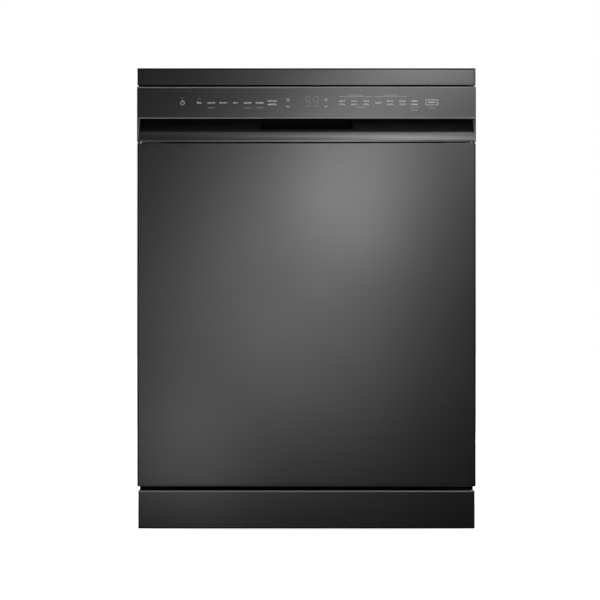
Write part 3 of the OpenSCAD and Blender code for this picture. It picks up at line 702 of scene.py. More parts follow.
def panel_print():
    """Generic marks: a power ring, greeked key labels, small icons and group lines."""
    draw = random.Random(7)
    marks, faint = Piece(), Piece()
    mid = (panel_low.z + panel_high.z) / 2
    line_z = mid - 0.6
    power_x, pitch = -219.5, 21.4
    stroke(marks, arc(power_x, line_z, 3.6, 115, 425, 14))
    stroke(marks, [(power_x, line_z + 1), (power_x, line_z + 5)])
    stroke(faint, arc(power_x, line_z + 6, 3, 40, 140, 4), 0.4)
    for i in range(6):
        word(marks, -190 + i * pitch, line_z, 15 if i % 3 else 9, draw)
    stroke(faint, arc(-190, line_z + 6, 2, 0, 180, 4), 0.4)
    for x in (-169, -104, -83):
        word(faint, x, line_z - 8.8, 13, draw, 0.6)
    for dz in (3, -2.8):
        word(marks, -61, line_z + dz, 17, draw)
    for x in (-32.7, 34.5):
        stroke(marks, arc(x, mid + 5, 2.2, 0, 360, 8), 0.5)
        stroke(marks, [(x - 2.4, mid - 6), (x, mid - 8.6), (x + 2.4, mid - 6)], 0.5)
    for i in range(7):
        x = 62.8 + i * pitch
        for dz in (0,) if i == 3 else (3, -2.8):
            word(marks, x, line_z + dz, 12, draw)
    for x in (96, 191):
        word(faint, x, line_z - 8, 17, draw, 0.6)
    word(faint, 191, line_z - 12.6, 14, draw, 0.6)
    for x in (86.5, 149.2):
        word(faint, x, mid + 13, 26, draw, 0.6)
        stroke(faint, [(x - 28.7, mid + 10.6), (x + 28.7, mid + 10.6)], 0.5)
    box_x, box_hx, box_hz = 222, 10.6, 4.6
    stroke(marks, [(box_x - box_hx, line_z - box_hz + 1), (box_x + box_hx, line_z - box_hz + 1),
                   (box_x + box_hx, line_z + box_hz + 1), (box_x - box_hx, line_z + box_hz + 1),
                   (box_x - box_hx, line_z - box_hz + 1)], 0.5)
    word(marks, box_x, line_z + 1, 14, draw)
    word(faint, box_x, line_z - 9, 11, draw, 0.6)
    marks.make("panel_marks", "door", "grey_trim", finish="print")
    faint.make("panel_small_marks", "door", "grey_trim", finish="print_dim")


def digits():
    """Two slanted seven-segment numbers on the display glass."""
    shown = Piece()
    high, wide, slant, bar = 17.0, 8.6, 0.12, 1.25
    mid = (panel_low.z + panel_high.z) / 2 + 2
    ends = {"a": ((0, 2), (1, 2)), "b": ((1, 2), (1, 1)), "c": ((1, 1), (1, 0)), "d": ((1, 0), (0, 0)),
            "e": ((0, 0), (0, 1)), "f": ((0, 1), (0, 2)), "g": ((0, 1), (1, 1))}
    for value, x in ((5, 2.7), (9, 15.9)):
        for name in SEGMENTS[value]:
            line = []
            for u, v in ends[name]:
                z = mid + (v - 1) * high / 2
                line.append((x + (u - 0.5) * wide + (z - mid) * slant, z))
            (xa, za), (xb, zb) = line
            cut = 0.14 * (wide if za == zb else high / 2)
            length = math.dist(*line)
            ux, uz = (xb - xa) / length * cut, (zb - za) / length * cut
            stroke(shown, [(xa + ux, za + uz), (xb - ux, zb - uz)], bar)
    shown.make("display_digits", "door", "display_glass", finish="digit")


def worktop():
    low, high = corners("worktop_lid")
    Piece().pad(low, high, 1.2, 1.2).make("worktop_board", "cabinet", "lid_laminate", ["worktop_lid"])
    low, high = corners("worktop_trim")
    trim = Piece()
    dark = 2.9
    trim.pad((low.x + 2.6, low.y, low.z), (high.x - 2.6, high.y, high.z - dark), 0.8, 0.6, X)
    # The near-black strip in the band the trim leaves below the top is a painted dark reflection of the
    # worktop's rounded top edge.
    line = Piece().pad((low.x + 2.6, low.y + 0.3, high.z - dark + 0.1), (high.x - 2.6, high.y, high.z - 0.6),
                       0.8, 0.6, X)
    line.make("worktop_dark_reflection_line", "cabinet", "black_trim", finish="shade_black")
    for side in (-1, 1):
        x0, x1 = span(side, high.x, high.x - 2.8)
        trim.pad((x0, low.y, low.z), (x1, high.y, high.z), 2.2, 0.7, X)
    trim.make("worktop_edge", "cabinet", "black_trim", ["worktop_trim"], finish="front_steel")


# Depth of the near-black sheet behind the gap under the door, which paints the shade in that gap.
SHADE_SHEET_Y = -229.5


def plinth():
    low, high = corners("plinth_panel")
    sheet = Piece()
    sheet.loft(folded(high.x, low.y, lambda z: low.y + 24, edge_levels(low.z, high.z, 1.4), bend=2.4))
    for z in (low.z + 0.2, high.z - 1.2):
        sheet.pad((low.x + 1, low.y + 1, z), (high.x - 1, low.y + 12, z + 1), 1.5, 0.3)
    sheet.make("plinth_sheet", "cabinet", "black_steel", ["plinth_panel"], finish="front_steel")
    edge, lip, gap_sheet = Piece(), Piece(), Piece()
    # A lighter strip along the plinth's top edge: a painted highlight line.
    edge.pad((low.x + 1, low.y - 0.3, high.z - 2.9), (high.x - 1, low.y + 1.2, high.z - 0.2), 0.6, 0.5, X)
    edge.make("plinth_edge", "cabinet", "grey_trim", finish="highlight_edge")
    # A thin lip along the plinth's foot; its near-black finish is painted shade for the dark line above the
    # floor.
    lip.pad((low.x + 0.5, low.y - 0.5, low.z - 0.2), (high.x - 0.5, low.y + 1.6, low.z + 2.2), 0.8, 0.5, X)
    lip.make("plinth_lip_shade", "cabinet", "seal_rubber", finish="shade_black")
    # A near-black sheet behind the gap under the door: painted shade.
    gap_sheet.pad((low.x + 8, SHADE_SHEET_Y - 1, 58), (high.x - 8, SHADE_SHEET_Y + 1, 98), 0.8, 0.5, X)
    gap_sheet.make("gap_shade_sheet", "cabinet", "seal_rubber", finish="shade_black")


# ---- cabinet outside ----

def side_sheets():
    """Coated side panels with a folded front edge, a shallow pressed field and a row of fixing screws."""
    notch_top = 110
    for name, side in (("side_panel_left", -1), ("side_panel_right", 1)):
        low, high = corners(name)
        outer = max(abs(low.x), abs(high.x))
        ys = graded([low.y, low.y + 11, low.y + 60, high.y - 60, high.y], 60, 2.5, 5)
        zs = graded([low.z, notch_top, low.z + 130, high.z - 70, high.z], 70, 2.5, 5)

        def depth(y, z):
            along = smooth((y - low.y - 58) / 6) * smooth((high.y - 58 - y) / 6)
            return 0.8 * along * smooth((z - low.z - 128) / 6) * smooth((high.z - 68 - z) / 6)

        grid = [[(side * (outer - depth(y, z)), y, z) for y in (ys if side < 0 else ys[::-1])] for z in zs]
        skin = Piece()
        cut = ys.index(min(ys, key=lambda y: abs(y - low.y - 11)))
        count = len(ys) - 1

        def keep(i, j):
            column = j if side < 0 else count - 1 - j
            return not (zs[i] < notch_top - 1 and column < cut)

        skin.slab(grid, -SHEET, keep)
        x0, x1 = span(side, outer - 12, outer - 0.5)
        skin.pad((x0, low.y, corners("tub_wrapper")[0].z + 54), (x1, low.y + 1, high.z), 0.4, 0.3)
        skin.make(name + "_skin", "cabinet", "black_steel", [name])
        screws = Piece()
        for z in (60, 300, 560, high.z - 24):
            head = [(3.6, -1), (3.4, -0.5), (2.2, 0), (0.5, 0)]
            screws.lathe([(r, side * h) for r, h in head], (side * (outer - 0.1), high.y - 14, z), X, 16)
        screws.make(name + "_screws", "cabinet", "spring_steel")


def back_sheet():
    """Zinc-coated rear sheet with pressed panels, open round the three fittings, screws and a blank plate."""
    low, high = corners("rear_panel")
    fields = [(-250, -20, 260, 480), (20, 250, 260, 480), (-250, -20, 520, 740), (20, 250, 520, 740)]
    xs = graded([low.x, -250, -20, 20, 250, high.x], 45, 3, 9)
    zs = graded([low.z, 60, 165, 260, 480, 520, 740, high.z], 45, 3, 9)

    def raised(x, z):
        best = smooth((230 - abs(x)) / 8 + 1) * smooth((z - 62) / 8) * smooth((163 - z) / 8) * -1.5
        for x0, x1, z0, z1 in fields:
            near = min(x - x0, x1 - x, z - z0, z1 - z)
            cross = min(abs((x - x0) / (x1 - x0) - (z - z0) / (z1 - z0)),
                        abs((x - x0) / (x1 - x0) + (z - z0) / (z1 - z0) - 1))
            best += 2.2 * smooth(near / 8) - 1.2 * smooth(near / 14 - 0.6) * smooth(1 - cross / 0.06)
        return best

    sheet = Piece()
    holes = [(middle(n).x, middle(n).z, r) for n, r in (("inlet_valve", 18), ("drain_outlet", 15.5),
                                                        ("cord_gland", 12.5))]
    xs = sorted(set(xs) | {x + d for x, _, r in holes for d in (-r, r)})
    zs = sorted(set(zs) | {z + d for _, z, r in holes for d in (-r, r)})
    grid = [[(x, high.y - 1 + max(min(raised(x, z), 0.9), -3), z) for x in xs[::-1]] for z in zs]

    def keep(i, j):
        x = (xs[::-1][j] + xs[::-1][j + 1]) / 2
        z = (zs[i] + zs[i + 1]) / 2
        return not any(abs(x - a) < r and abs(z - b) < r for a, b, r in holes)

    sheet.slab(grid, 0.8, keep)
    sheet.make("back_sheet", "cabinet", "zinc_steel", ["rear_panel"])
    screws = Piece()
    for x in (low.x + 10, 0, high.x - 10):
        for z in (38, 230, 500, high.z - 12):
            screws.lathe([(3.8, -0.6), (3.6, 0.6), (2.4, 1.2), (0.5, 1.3)], (x, high.y - 0.6, z), Y, 16)
    screws.make("back_screws", "cabinet", "spring_steel")
    plate = Piece().pad((-70, high.y - 1.2, 80), (20, high.y + 0.3, 140), 4, 0.3, Y)
    plate.make("blank_plate", "cabinet", "grey_trim")


def threaded(piece, centre, axis, radius, start, end, pitch, depth, count=32):
    """A rod with rings like a thread's crests."""
    profile = [(radius * 0.3, start), (radius - depth, start)]
    at = start
    while at + pitch <= end + 1e-6:
        profile += [(r, at + pitch * part) for r, part in
                    ((radius - depth, 0.1), (radius, 0.4), (radius, 0.6), (radius - depth, 0.9))]
        at += pitch
    profile += [(radius - depth, end - 0.4), (radius - depth - 0.8, end), (radius * 0.55, end),
                (radius * 0.5, end - 4), (radius * 0.2, end - 4.2)]
    piece.lathe(profile, centre, axis, count)


def rear_fittings():
    low, high = corners("inlet_valve")
    at = (middle("inlet_valve").x, high.y, middle("inlet_valve").z)
    valve = Piece().pad((low.x, low.y, low.z), (high.x, high.y - 11, high.z), 6, 2, Y)
    valve.lathe([(16, -11.5), (16, -9.5), (15.2, -9)], at, Y, 6)
    threaded(valve, at, Y, 13.2, -11, 0, 1.8, 1.0)
    valve.make("inlet_valve_body", "cabinet", "white_plastic", ["inlet_valve"])
    low, high = corners("drain_outlet")
    at = (middle("drain_outlet").x, high.y, middle("drain_outlet").z)
    drain = Piece().pad((low.x, low.y, low.z), (high.x, high.y - 11, high.z), 5, 2, Y)
    drain.lathe([(9.6, -12), (9.6, -8), (10.5, -7.4), (9.4, -5), (9.4, -4.4), (10.5, -3.8), (9.2, 0), (7, 0),
                 (6.6, -6), (1, -6.2)], at, Y)
    drain.make("drain_spigot_body", "cabinet", "grey_plastic", ["drain_outlet"])
    low, high = corners("cord_gland")
    at = (middle("cord_gland").x, high.y, middle("cord_gland").z)
    gland = Piece()
    gland.lathe([(5, -13), (16, -13), (16, -8.4), (14, -7.6), (11, -7.2), (10.4, -1), (9, 0), (5.6, 0),
                 (5, -0.8)], at, Y, loop=True)
    gland.pad((low.x, low.y, low.z), (high.x, low.y + 3, high.z), 4, 0.8, Y)
    gland.make("cord_gland_body", "cabinet", "black_plastic", ["cord_gland"])


def feet():
    for name in [n for n in frame["nodes"] if n.startswith("foot_")]:
        at = (*middle(name).xy, 0)
        foot = Piece()
        foot.lathe([(2, 0), (19.5, 0), (21.6, 0.8), (22, 2.4), (21.4, 4.4), (18, 6), (12, 7.4), (3, 8)], at,
                   count=40)
        foot.lathe([(4, 7), (9, 7), (10, 8), (10, 12), (9, 13), (4, 13)], at, count=6)
        threaded(foot, at, Z, 5, 12, corners(name)[1].z, 2.0, 0.6, 20)
        foot.make(name + "_pad", body_of(name), "black_plastic", [name])


# ---- tub ----

tub_low, tub_high = corners("tub_wrapper")
floor_low, floor_high = corners("tub_floor")
TUB_X = floor_high.x
TUB_TOP = tub_high.z - 18
LEDGE = floor_high.z
SIDE_BEADS = (330, 640)
BACK_FIELDS = [(x, *rows) for x in (-150, 150) for rows in ((220, 420), (520, 700))]
FIELD_HALF = 60


def tub_lining():
    """The steel tub: sides and ceiling in one sheet with round corners, a pressed back and a front flange."""
    flange_y, back_y = tub_low.y + 0.2, tub_high.y - 1.2
    bend = 23
    stations = [(tub_high.x, tub_high.z, 12, flange_y), (TUB_X + 7, TUB_TOP + 6, 29, flange_y)]
    for t in (0.5, 1.0, math.pi / 2):
        wider = 5 * (1 - math.sin(t))
        stations.append((TUB_X + wider, TUB_TOP + wider, 25, flange_y + 5 * (1 - math.cos(t))))
    stations += [(TUB_X, TUB_TOP, bend, y) for y in spaced(flange_y + 12, back_y - bend - 4, 46)]
    for i in range(7):
        t = math.pi / 12 * i
        inset = bend * (1 - math.cos(t))
        stations.append((TUB_X - inset, TUB_TOP - inset, bend, back_y - bend + bend * math.sin(t)))
    foot = LEDGE - 4
    opening = 282

    def wall(half, top, radius, y):
        """One line of the sheet; two pressed beads run along each side."""
        line = []
        inside = smooth((y - flange_y - 30) / 30) * smooth((back_y - 40 - y) / 30)
        for x, z in arch(half, top, radius, foot, 6, 44):
            push = 2.2 * inside * smooth(max(1 - abs(z - bead) / 9 for bead in SIDE_BEADS))
            limit = opening if z < foot + 35 and half > opening else half
            x = max(-limit, min(limit, x + math.copysign(push, x)))
            line.append((x, y, z))
        return line

    lining = Piece().slab([wall(*s) for s in stations], -1.0)
    half, top = TUB_X - bend, TUB_TOP - bend
    xs = graded([-half, -210, -90, 90, 210, half], 50, 4, 16)
    zs = graded([foot, 220, 420, 520, 700, top + bend], 50, 4, 12)

    def pressed(x, z):
        """Where the back sheet lies in depth at (x, z)."""
        near = max(min(FIELD_HALF - abs(x - a), z - z0, z1 - z) for a, z0, z1 in BACK_FIELDS)
        return back_y + 2.0 * smooth(near / 9)

    lining.slab([[(x, pressed(x, z), z) for x in xs] for z in zs if z <= top + 1]
                + [[(x, back_y, top + 6) for x in xs]], -0.9)
    lining.make("tub_lining", "cabinet", "tub_steel", ["tub_wrapper"])


sump = middle("filter_plate")
SUMP_R = corners("filter_plate")[1].x - sump.x


def tub_base():
    """The moulded floor: wheel ledges at the rim, a dished bottom with ribs and a round opening."""
    ledge_hw = TUB_X - 34
    y0, y1 = floor_low.y, floor_high.y
    count = 120
    bowl_r = SUMP_R + 3.5

    def rim_point(turn, x0, x1, ya, yb, radius):
        """Where a ray from the bowl's centre meets a rounded rectangle."""
        dx, dy = math.cos(turn), math.sin(turn)
        reach = min(((x1 if dx > 0 else x0) - sump.x) / dx if abs(dx) > 1e-6 else 1e9,
                    ((yb if dy > 0 else ya) - sump.y) / dy if abs(dy) > 1e-6 else 1e9)
        x, y = sump.x + dx * reach, sump.y + dy * reach
        corner_x = (x1 - radius) if x > (x0 + x1) / 2 else (x0 + radius)
        corner_y = (yb - radius) if y > (ya + yb) / 2 else (ya + radius)
        if (x - corner_x) * (1 if corner_x > 0 else -1) > 0 and abs(y - corner_y) > 1e-6 and \
                (y - corner_y) * (1 if corner_y > (ya + yb) / 2 else -1) > 0:
            a = dx * dx + dy * dy
            b = dx * (sump.x - corner_x) + dy * (sump.y - corner_y)
            c = (sump.x - corner_x) ** 2 + (sump.y - corner_y) ** 2 - radius ** 2
            if b * b - a * c > 0:
                reach = (-b + math.sqrt(b * b - a * c)) / a
                x, y = sump.x + dx * reach, sump.y + dy * reach
        return Vector((x, y))

    # Angles that meet the four outer corners keep the sheet's outline square.
    turns = sorted([math.tau * i / count for i in range(count)]
                   + [math.atan2(y - sump.y, x - sump.x) % math.tau
                      for x in (-TUB_X, TUB_X) for y in (y0, y1)])
    rows = []
    for turn in turns:
        outer = rim_point(turn, -TUB_X, TUB_X, y0, y1, 0.1)
        ledge = rim_point(turn, -ledge_hw, ledge_hw, y0 + 30, y1 - 20, 45)
        foot = rim_point(turn, -ledge_hw + 9, ledge_hw - 9, y0 + 39, y1 - 29, 38)
        bowl = Vector((sump.x + bowl_r * math.cos(turn), sump.y + bowl_r * math.sin(turn)))
        row = [(*outer, LEDGE), (*ledge, LEDGE), (*(ledge * 0.7 + foot * 0.3), LEDGE - 2.5),
               (*(ledge * 0.3 + foot * 0.7), LEDGE - 10), (*foot, LEDGE - 12)]
        span = (foot - bowl).length
        rib = 0.9 if int(turn / math.tau * 40) % 2 else 0.0
        for i in range(1, 6):
            at = foot.lerp(bowl, i / 6)
            lift = rib * smooth((span - 26) / 30) if 1 <= i <= 4 else 0.0
            row.append((*at, LEDGE - 12 - 2.2 * i / 6 + lift))
        row += [(*(bowl + (foot - bowl).normalized() * 2), LEDGE - 14.4), (*bowl, LEDGE - 15.2)]
        rows.append(row + [(x, y, min(z, LEDGE - 11) - 3.5) for x, y, z in row[::-1]])
    Piece().loft(rows, loop=True).make("tub_base", "cabinet", "floor_plastic", ["tub_floor"])


def sill_step():
    """The front wall of the tub's floor, down to its lower edge."""
    low, high = (-TUB_X + 1, floor_low.y + 0.3, floor_low.z), (TUB_X - 1, floor_low.y + 4, LEDGE - 0.4)
    Piece().pad(low, high, 1.5, 1, X).make("tub_sill", "cabinet", "floor_plastic")


def seal():
    """A round bulb on a flat base that runs up and over the door opening, and the strip on the sill."""
    low, high = corners("door_gasket")
    path = arch(high.x - 4.6, high.z - 4.6, 28, 146, 10, 8)
    bulb = Piece().wire(at_y(path, low.y + 5.2), 4.5, 12, tips=True)
    lines = [at_y(arch(high.x - step, high.z - step, 32 - step, 143, 10, 8), high.y - 2.6)
             for step in (2.2, 7.4)]
    Piece().slab(lines, 2.4).make("seal_base", "cabinet", "seal_rubber")
    bulb.pad((-262, low.y, 122), (262, low.y + 1.3, 133), 1.5, 0.5)
    bulb.make("door_seal", "cabinet", "seal_rubber", ["door_gasket"])


def balance_springs():
    """A coil spring on each side with its hook, and the cord that runs to the hinge cam."""
    low, high = corners("door_springs")
    radius = 7.0
    z = high.z - 8
    for name, side in (("left", -1), ("right", 1)):
        x = side * (high.x - 8)
        start, end, turns = -70.0, 55.0, 34
        coil = [(x + radius * math.cos(t), start + (end - start) * t / (math.tau * turns),
                 z + radius * math.sin(t)) for t in [math.tau * i / 10 for i in range(turns * 10 + 1)]]
        made = Piece().wire(coil, 0.95, 5)
        hook = [coil[-1], (x + radius * 0.5, end + 2, z), (x, end + 3, z - 1), (x, end + 7, z - 5)]
        made.wire(round_corners(hook, 3), 0.95, 6)
        made.wire(round_corners([coil[0], (x, start - 1.5, z), (x, start - 4, z)], 2), 0.95, 6)
        made.make("balance_spring_" + name, "cabinet", "spring_steel", ["door_springs"] if side > 0 else [])
        cord = Piece()
        cord.wire([(x, low.y + 0.5 + (start - 3 - low.y) * i / 12, z) for i in range(13)], 1.4, 8, tips=True)
        cord.make("balance_cord_" + name, "cabinet", "black_plastic")


def riser():
    """The water duct up the back wall and under the ceiling, with clips and its nozzle head."""
    low, high = corners("water_riser")
    hub = middle("ceiling_sprinkler")
    duct = Piece()
    wide = 13
    duct.pad((-wide, high.y - 11.5, low.z), (wide, high.y, high.z - 6), 5, 3)
    duct.pad((-wide, hub.y - 14, high.z - 11), (wide, high.y - 2, high.z), 4, 3, Y)
    for z in (low.z + 110, low.z + 300, low.z + 480):
        duct.pad((-wide - 5, high.y - 8, z), (wide + 5, high.y, z + 12), 3, 1.5)
    duct.lathe([(12, high.z - 12), (12, high.z - 16), (7, high.z - 18), (5, high.z - 20), (5, low.z + 600),
                (7.8, low.z + 599), (8, low.z + 596), (6, low.z + 595)], (hub.x, hub.y, 0))
    duct.lathe([(10, 0), (13, -1), (13, -4), (6, -9), (4, -9)][::-1], (0, high.y - 11, low.z + 317), Y)
    duct.make("water_duct", "cabinet", "grey_plastic", ["water_riser"])


# ---- sump and arms ----

def filter_parts():
    hub = middle("lower_spray_arm")
    cup_low, cup_high = corners("filter_cup")
    cup = middle("filter_cup")
    top = corners("filter_plate")[1].z
    # The plate is a dish round the bowl's centre that falls towards the cup's opening.
    rings = [at_z(circle(sump.x, sump.y, radius, 96), top - 0.6 + dz) for radius, dz in
             ((SUMP_R, 0), (SUMP_R - 1, 0.6), (SUMP_R - 5, 0.4), (SUMP_R * 0.8, -0.2))]
    rings.append(at_z(circle(cup.x, cup.y, 38, 96), top - 1.2))
    under = [[(x, y, z - 0.9) for x, y, z in ring] for ring in rings[::-1]]
    plate = Piece().loft(rings + under, loop=True)
    plate.make("filter_mesh", "cabinet", "tub_steel", ["filter_plate"], finish="perforated")
    pedestal = Piece().lathe([(17.5, -3), (20.5, -1), (20.5, 1), (17.5, 3), (16, 3), (16, -3)],
                             (hub.x, hub.y, top), loop=True)
    pedestal.make("arm_pedestal_ring", "cabinet", "grey_plastic")
    radius = cup_high.x - cup.x
    basket = Piece()
    z1 = cup_high.z
    z0 = cup_low.z
    basket.lathe([(radius - 5, z1 - 2.5), (radius - 4, z1), (radius - 0.6, z1), (radius, z1 - 1),
                  (radius, z1 - 5), (radius - 2, z1 - 6), (radius - 3, z0 + 1), (radius - 4, z0), (6, z0),
                  (6, z0 + 2.5), (radius - 6, z0 + 3)], (cup.x, cup.y, 0), count=48, loop=True)
    for x, y in circle(cup.x, cup.y, radius - 2.2, 12):
        basket.wire([(x, y, z0 + 2), (x, y, z1 - 4)], 1.2, 6)
    grip = radius - 3
    basket.pad((cup.x - grip, cup.y - 2.4, z1 - 20), (cup.x + grip, cup.y + 2.4, z1 - 1), 2, 1.5, Y)
    basket.lathe([(6, z1 - 22), (8, z1 - 20), (8, z1 - 2), (6, z1), (2, z1)], (cup.x, cup.y, 0), count=24)
    basket.make("filter_basket", body_of("filter_cup"), "black_plastic", ["filter_cup"])


def salt_lid():
    low, high = corners("salt_cap")
    at = middle("salt_cap")
    radius = high.x - at.x
    lid = Piece()
    z1 = high.z - 6
    lid.lathe([(6, low.z), (24, low.z), (25.6, low.z + 1), (25.6, z1 - 6), (radius - 1, z1 - 5.6),
               (radius, z1 - 4.8), (radius, z1 - 1.2), (radius - 1.4, z1), (radius - 6, z1),
               (radius - 8, z1 - 1.5), (4, z1 - 1.5)], (at.x, at.y, 0), count=48)
    for x, y in circle(at.x, at.y, radius - 0.5, 24):
        lid.wire([(x, y, z1 - 4.6), (x, y, z1 - 1.4)], 0.5, 5)
    lid.pad((at.x - 24, at.y - 3, z1 - 2), (at.x + 24, at.y + 3, high.z), 2.8, 1.6)
    lid.make("salt_lid", body_of("salt_cap"), "blue_plastic", ["salt_cap"], finish="blue_cap")


def spray_arm(node, name, hub_r, waist, tip, nozzles):
    """Two blades that swell towards their tips, a domed hub and round nozzles."""
    low, high = corners(node)
    at = middle(node)
    arm = Piece()
    z0, z1 = low.z + 1, high.z - 2
    mid_z, half_z = (z0 + z1) / 2, (z1 - z0) / 2
    reach = high.x - at.x
    for side in (-1, 1):
        rings = []
        for i in range(17):
            t = i / 16
            x = 8 + (reach - 8) * t
            swell = waist + (tip - waist) * smooth(t * 1.25)
            round_off = math.sqrt(max(0.0, 1 - max(0.0, (x - reach + tip) / tip) ** 2))
            wide = max(swell * round_off, 0.8)
            tall = half_z * (0.75 + 0.25 * smooth(1 - t)) * max(round_off, 0.25)
            ring = []
            for k in range(16):
                a = math.tau * k / 16
                c, s = math.cos(a), math.sin(a)
                u = math.copysign(abs(c) ** 0.7, c) * wide
                v = math.copysign(abs(s) ** 0.7, s) * tall
                ring.append((at.x + side * x, at.y + u + side * 5 * math.sin(math.pi * t), mid_z + v))
            rings.append(ring)
        arm.loft(rings)
        for i in range(nozzles):
            t = (i + 0.8) / nozzles
            x = 30 + (reach - 44) * t * 0.98
            y = at.y + side * 5 * math.sin(math.pi * (x - 8) / (reach - 8)) + (5 if i % 2 else -5)
            arm.lathe([(1.2, -2), (4.2, -2), (3.6, 0.5), (2.6, 0.9), (2.2, 0.4), (1.2, -0.2)],
                      (at.x + side * x, y, z1 - 0.3), Z, 14)
    inner = 8.2 if hub_r > 20 else 6.2
    arm.lathe([(inner, low.z), (hub_r * 0.8, low.z), (hub_r, low.z + 2), (hub_r, high.z - 4),
               (hub_r * 0.78, high.z - 1.2), (hub_r * 0.5, high.z), (inner, high.z)],
              (at.x, at.y, 0), count=40, loop=True)
    arm.make(name, body_of(node), "grey_plastic", [node])


def ceiling_rose():
    low, high = corners("ceiling_sprinkler")
    at = middle("ceiling_sprinkler")
    rose = Piece()
    radius = high.x - at.x
    rose.lathe([(5.2, low.z), (16, low.z), (20, low.z + 1.6), (radius - 6, low.z + 2.4),
                (radius - 1, low.z + 3.4), (radius, low.z + 4.6), (radius - 1, low.z + 6),
                (radius - 8, high.z - 0.8), (12, high.z), (5.2, high.z)],
               (at.x, at.y, 0), count=48, loop=True)
    for ring, count in ((30, 6), (43, 10)):
        for i in range(count):
            t = math.tau * (i + 0.3) / count
            rose.lathe([(1, 0.8), (1.4, -1.2), (2.6, -1.4), (3.2, 0.6), (3.4, 1.6), (1, 1.8)],
                       (at.x + ring * math.cos(t), at.y + ring * math.sin(t), low.z + 2), Z, 12)
    rose.make("ceiling_spray_head", body_of("ceiling_sprinkler"), "grey_plastic", ["ceiling_sprinkler"])


# ---- door inside ----

liner_high = corners("door_liner")[1]
PAN_X0, PAN_Z0, PAN_Z1, PAN_DEPTH = 252, 157, liner_high.z - 85, 12
RIM_X = 282


def door_inner():
    """The steel inner door: flat rim, a pressed pan with soft walls and beads, and the roll at its foot."""
    face = liner_high.y
    box_low, box_high = corners("dispenser_body")
    left, right, foot, head = box_low.x + 5, box_high.x - 5, box_low.z + 5, box_high.z - 5
    latch = 14
    xs = graded([-RIM_X, -PAN_X0, left, -latch, latch, right, PAN_X0, RIM_X], 40, 3, 13)
    latch_z = liner_high.z - 21
    zs = graded([hinge_z, PAN_Z0, foot, head, PAN_Z1, latch_z, liner_high.z], 40, 3, 13)
    xs = sorted({*xs, -latch, latch, left, right})
    zs = sorted({*zs, latch_z, foot, head})

    def depth(x, z):
        """How far the sheet is pressed back at (x, z)."""
        corner = 26
        dx, dz = PAN_X0 - abs(x), min(z - PAN_Z0, PAN_Z1 - z)
        if dx < corner and dz < corner:
            near = corner - math.hypot(corner - dx, corner - dz)
        else:
            near = min(dx, dz)
        pan = PAN_DEPTH * smooth(near / 9)
        for bead in (250, 320, 600):
            pan -= 1.8 * smooth(1 - abs(z - bead) / 9) * smooth((near - 26) / 14)
        return pan

    rolled = [[(x, hinge_y + roll * math.cos(t), hinge_z + roll * math.sin(t)) for x in xs]
              for t in [math.radians(a) for a in range(-88, -5, 12)]]
    grid = rolled + [[(x, face - depth(x, z), z) for x in xs] for z in zs]
    lead = len(rolled)

    def keep(i, j):
        if i < lead:
            return True
        x, z = (xs[j] + xs[j + 1]) / 2, (zs[i - lead] + zs[i - lead + 1]) / 2
        in_latch = abs(x) < latch and z > latch_z
        return not (in_latch or left < x < right and foot < z < head)

    liner = Piece().slab(grid, -0.9, keep)
    edge_z = 170.5
    for side in (-1, 1):
        drops = ((RIM_X, 0), (289, 0), (liner_high.x - 1.5, 0.5), (liner_high.x, 1.8))
        strip = [[(side * x, face - drop, z) for x, drop in drops] for z in spaced(edge_z, liner_high.z, 80)]
        liner.slab(strip, -0.9 * side)
    liner.make("inner_door", "door", "tub_steel", ["door_liner"])


def door_small_parts():
    """The liner's screws, with a six-lobed drive, and the damping mat."""
    screws = Piece()
    face = liner_high.y
    low, high = corners("door_screws")
    turns = [math.pi * k / 12 for k in range(24)]
    for side in (-1, 1):
        for z in (low.z + 4, 360, 520, high.z - 4):
            x = side * (high.x - 4)
            rings = [at_y(circle(x, z, radius, 24), face + y)
                     for radius, y in ((4, -1), (4, 0.6), (3.4, 1.3), (2.4, 1.75))]
            lobes = [(1.45 + 0.35 * math.cos(6 * t), t) for t in turns]
            drive = [(x + r * math.cos(t), z + r * math.sin(t)) for r, t in lobes]
            screws.loft(rings + [at_y(drive, face + depth) for depth in (1.7, 0.5)])
            screws.wire([(x, face - 7.5, z), (x, face, z)], 1.9, 12)
    screws.make("liner_screws", "door", "spring_steel", ["door_screws"])
    low, high = corners("door_insulation")
    draw = random.Random(3)
    lumps = [(draw.uniform(low.x, high.x), draw.uniform(low.z, high.z)) for _ in range(14)]

    def swell(x, z):
        return sum(math.exp(-((x - a) ** 2 + (z - b) ** 2) / 5000) for a, b in lumps) * 0.8

    def back(x, z):
        near = min(x - low.x, high.x - x, z - low.z, high.z - z)
        return low.y + 0.4 + (5.4 + min(swell(x, z), 2)) * smooth((near + 2) / 12)

    grid = [[(x, back(x, z), z) for x in spaced(low.x, high.x, 14)] for z in spaced(low.z, high.z, 14)]
    Piece().slab(grid, -0.5).make("damping_mat", "door", "felt", ["door_insulation"])


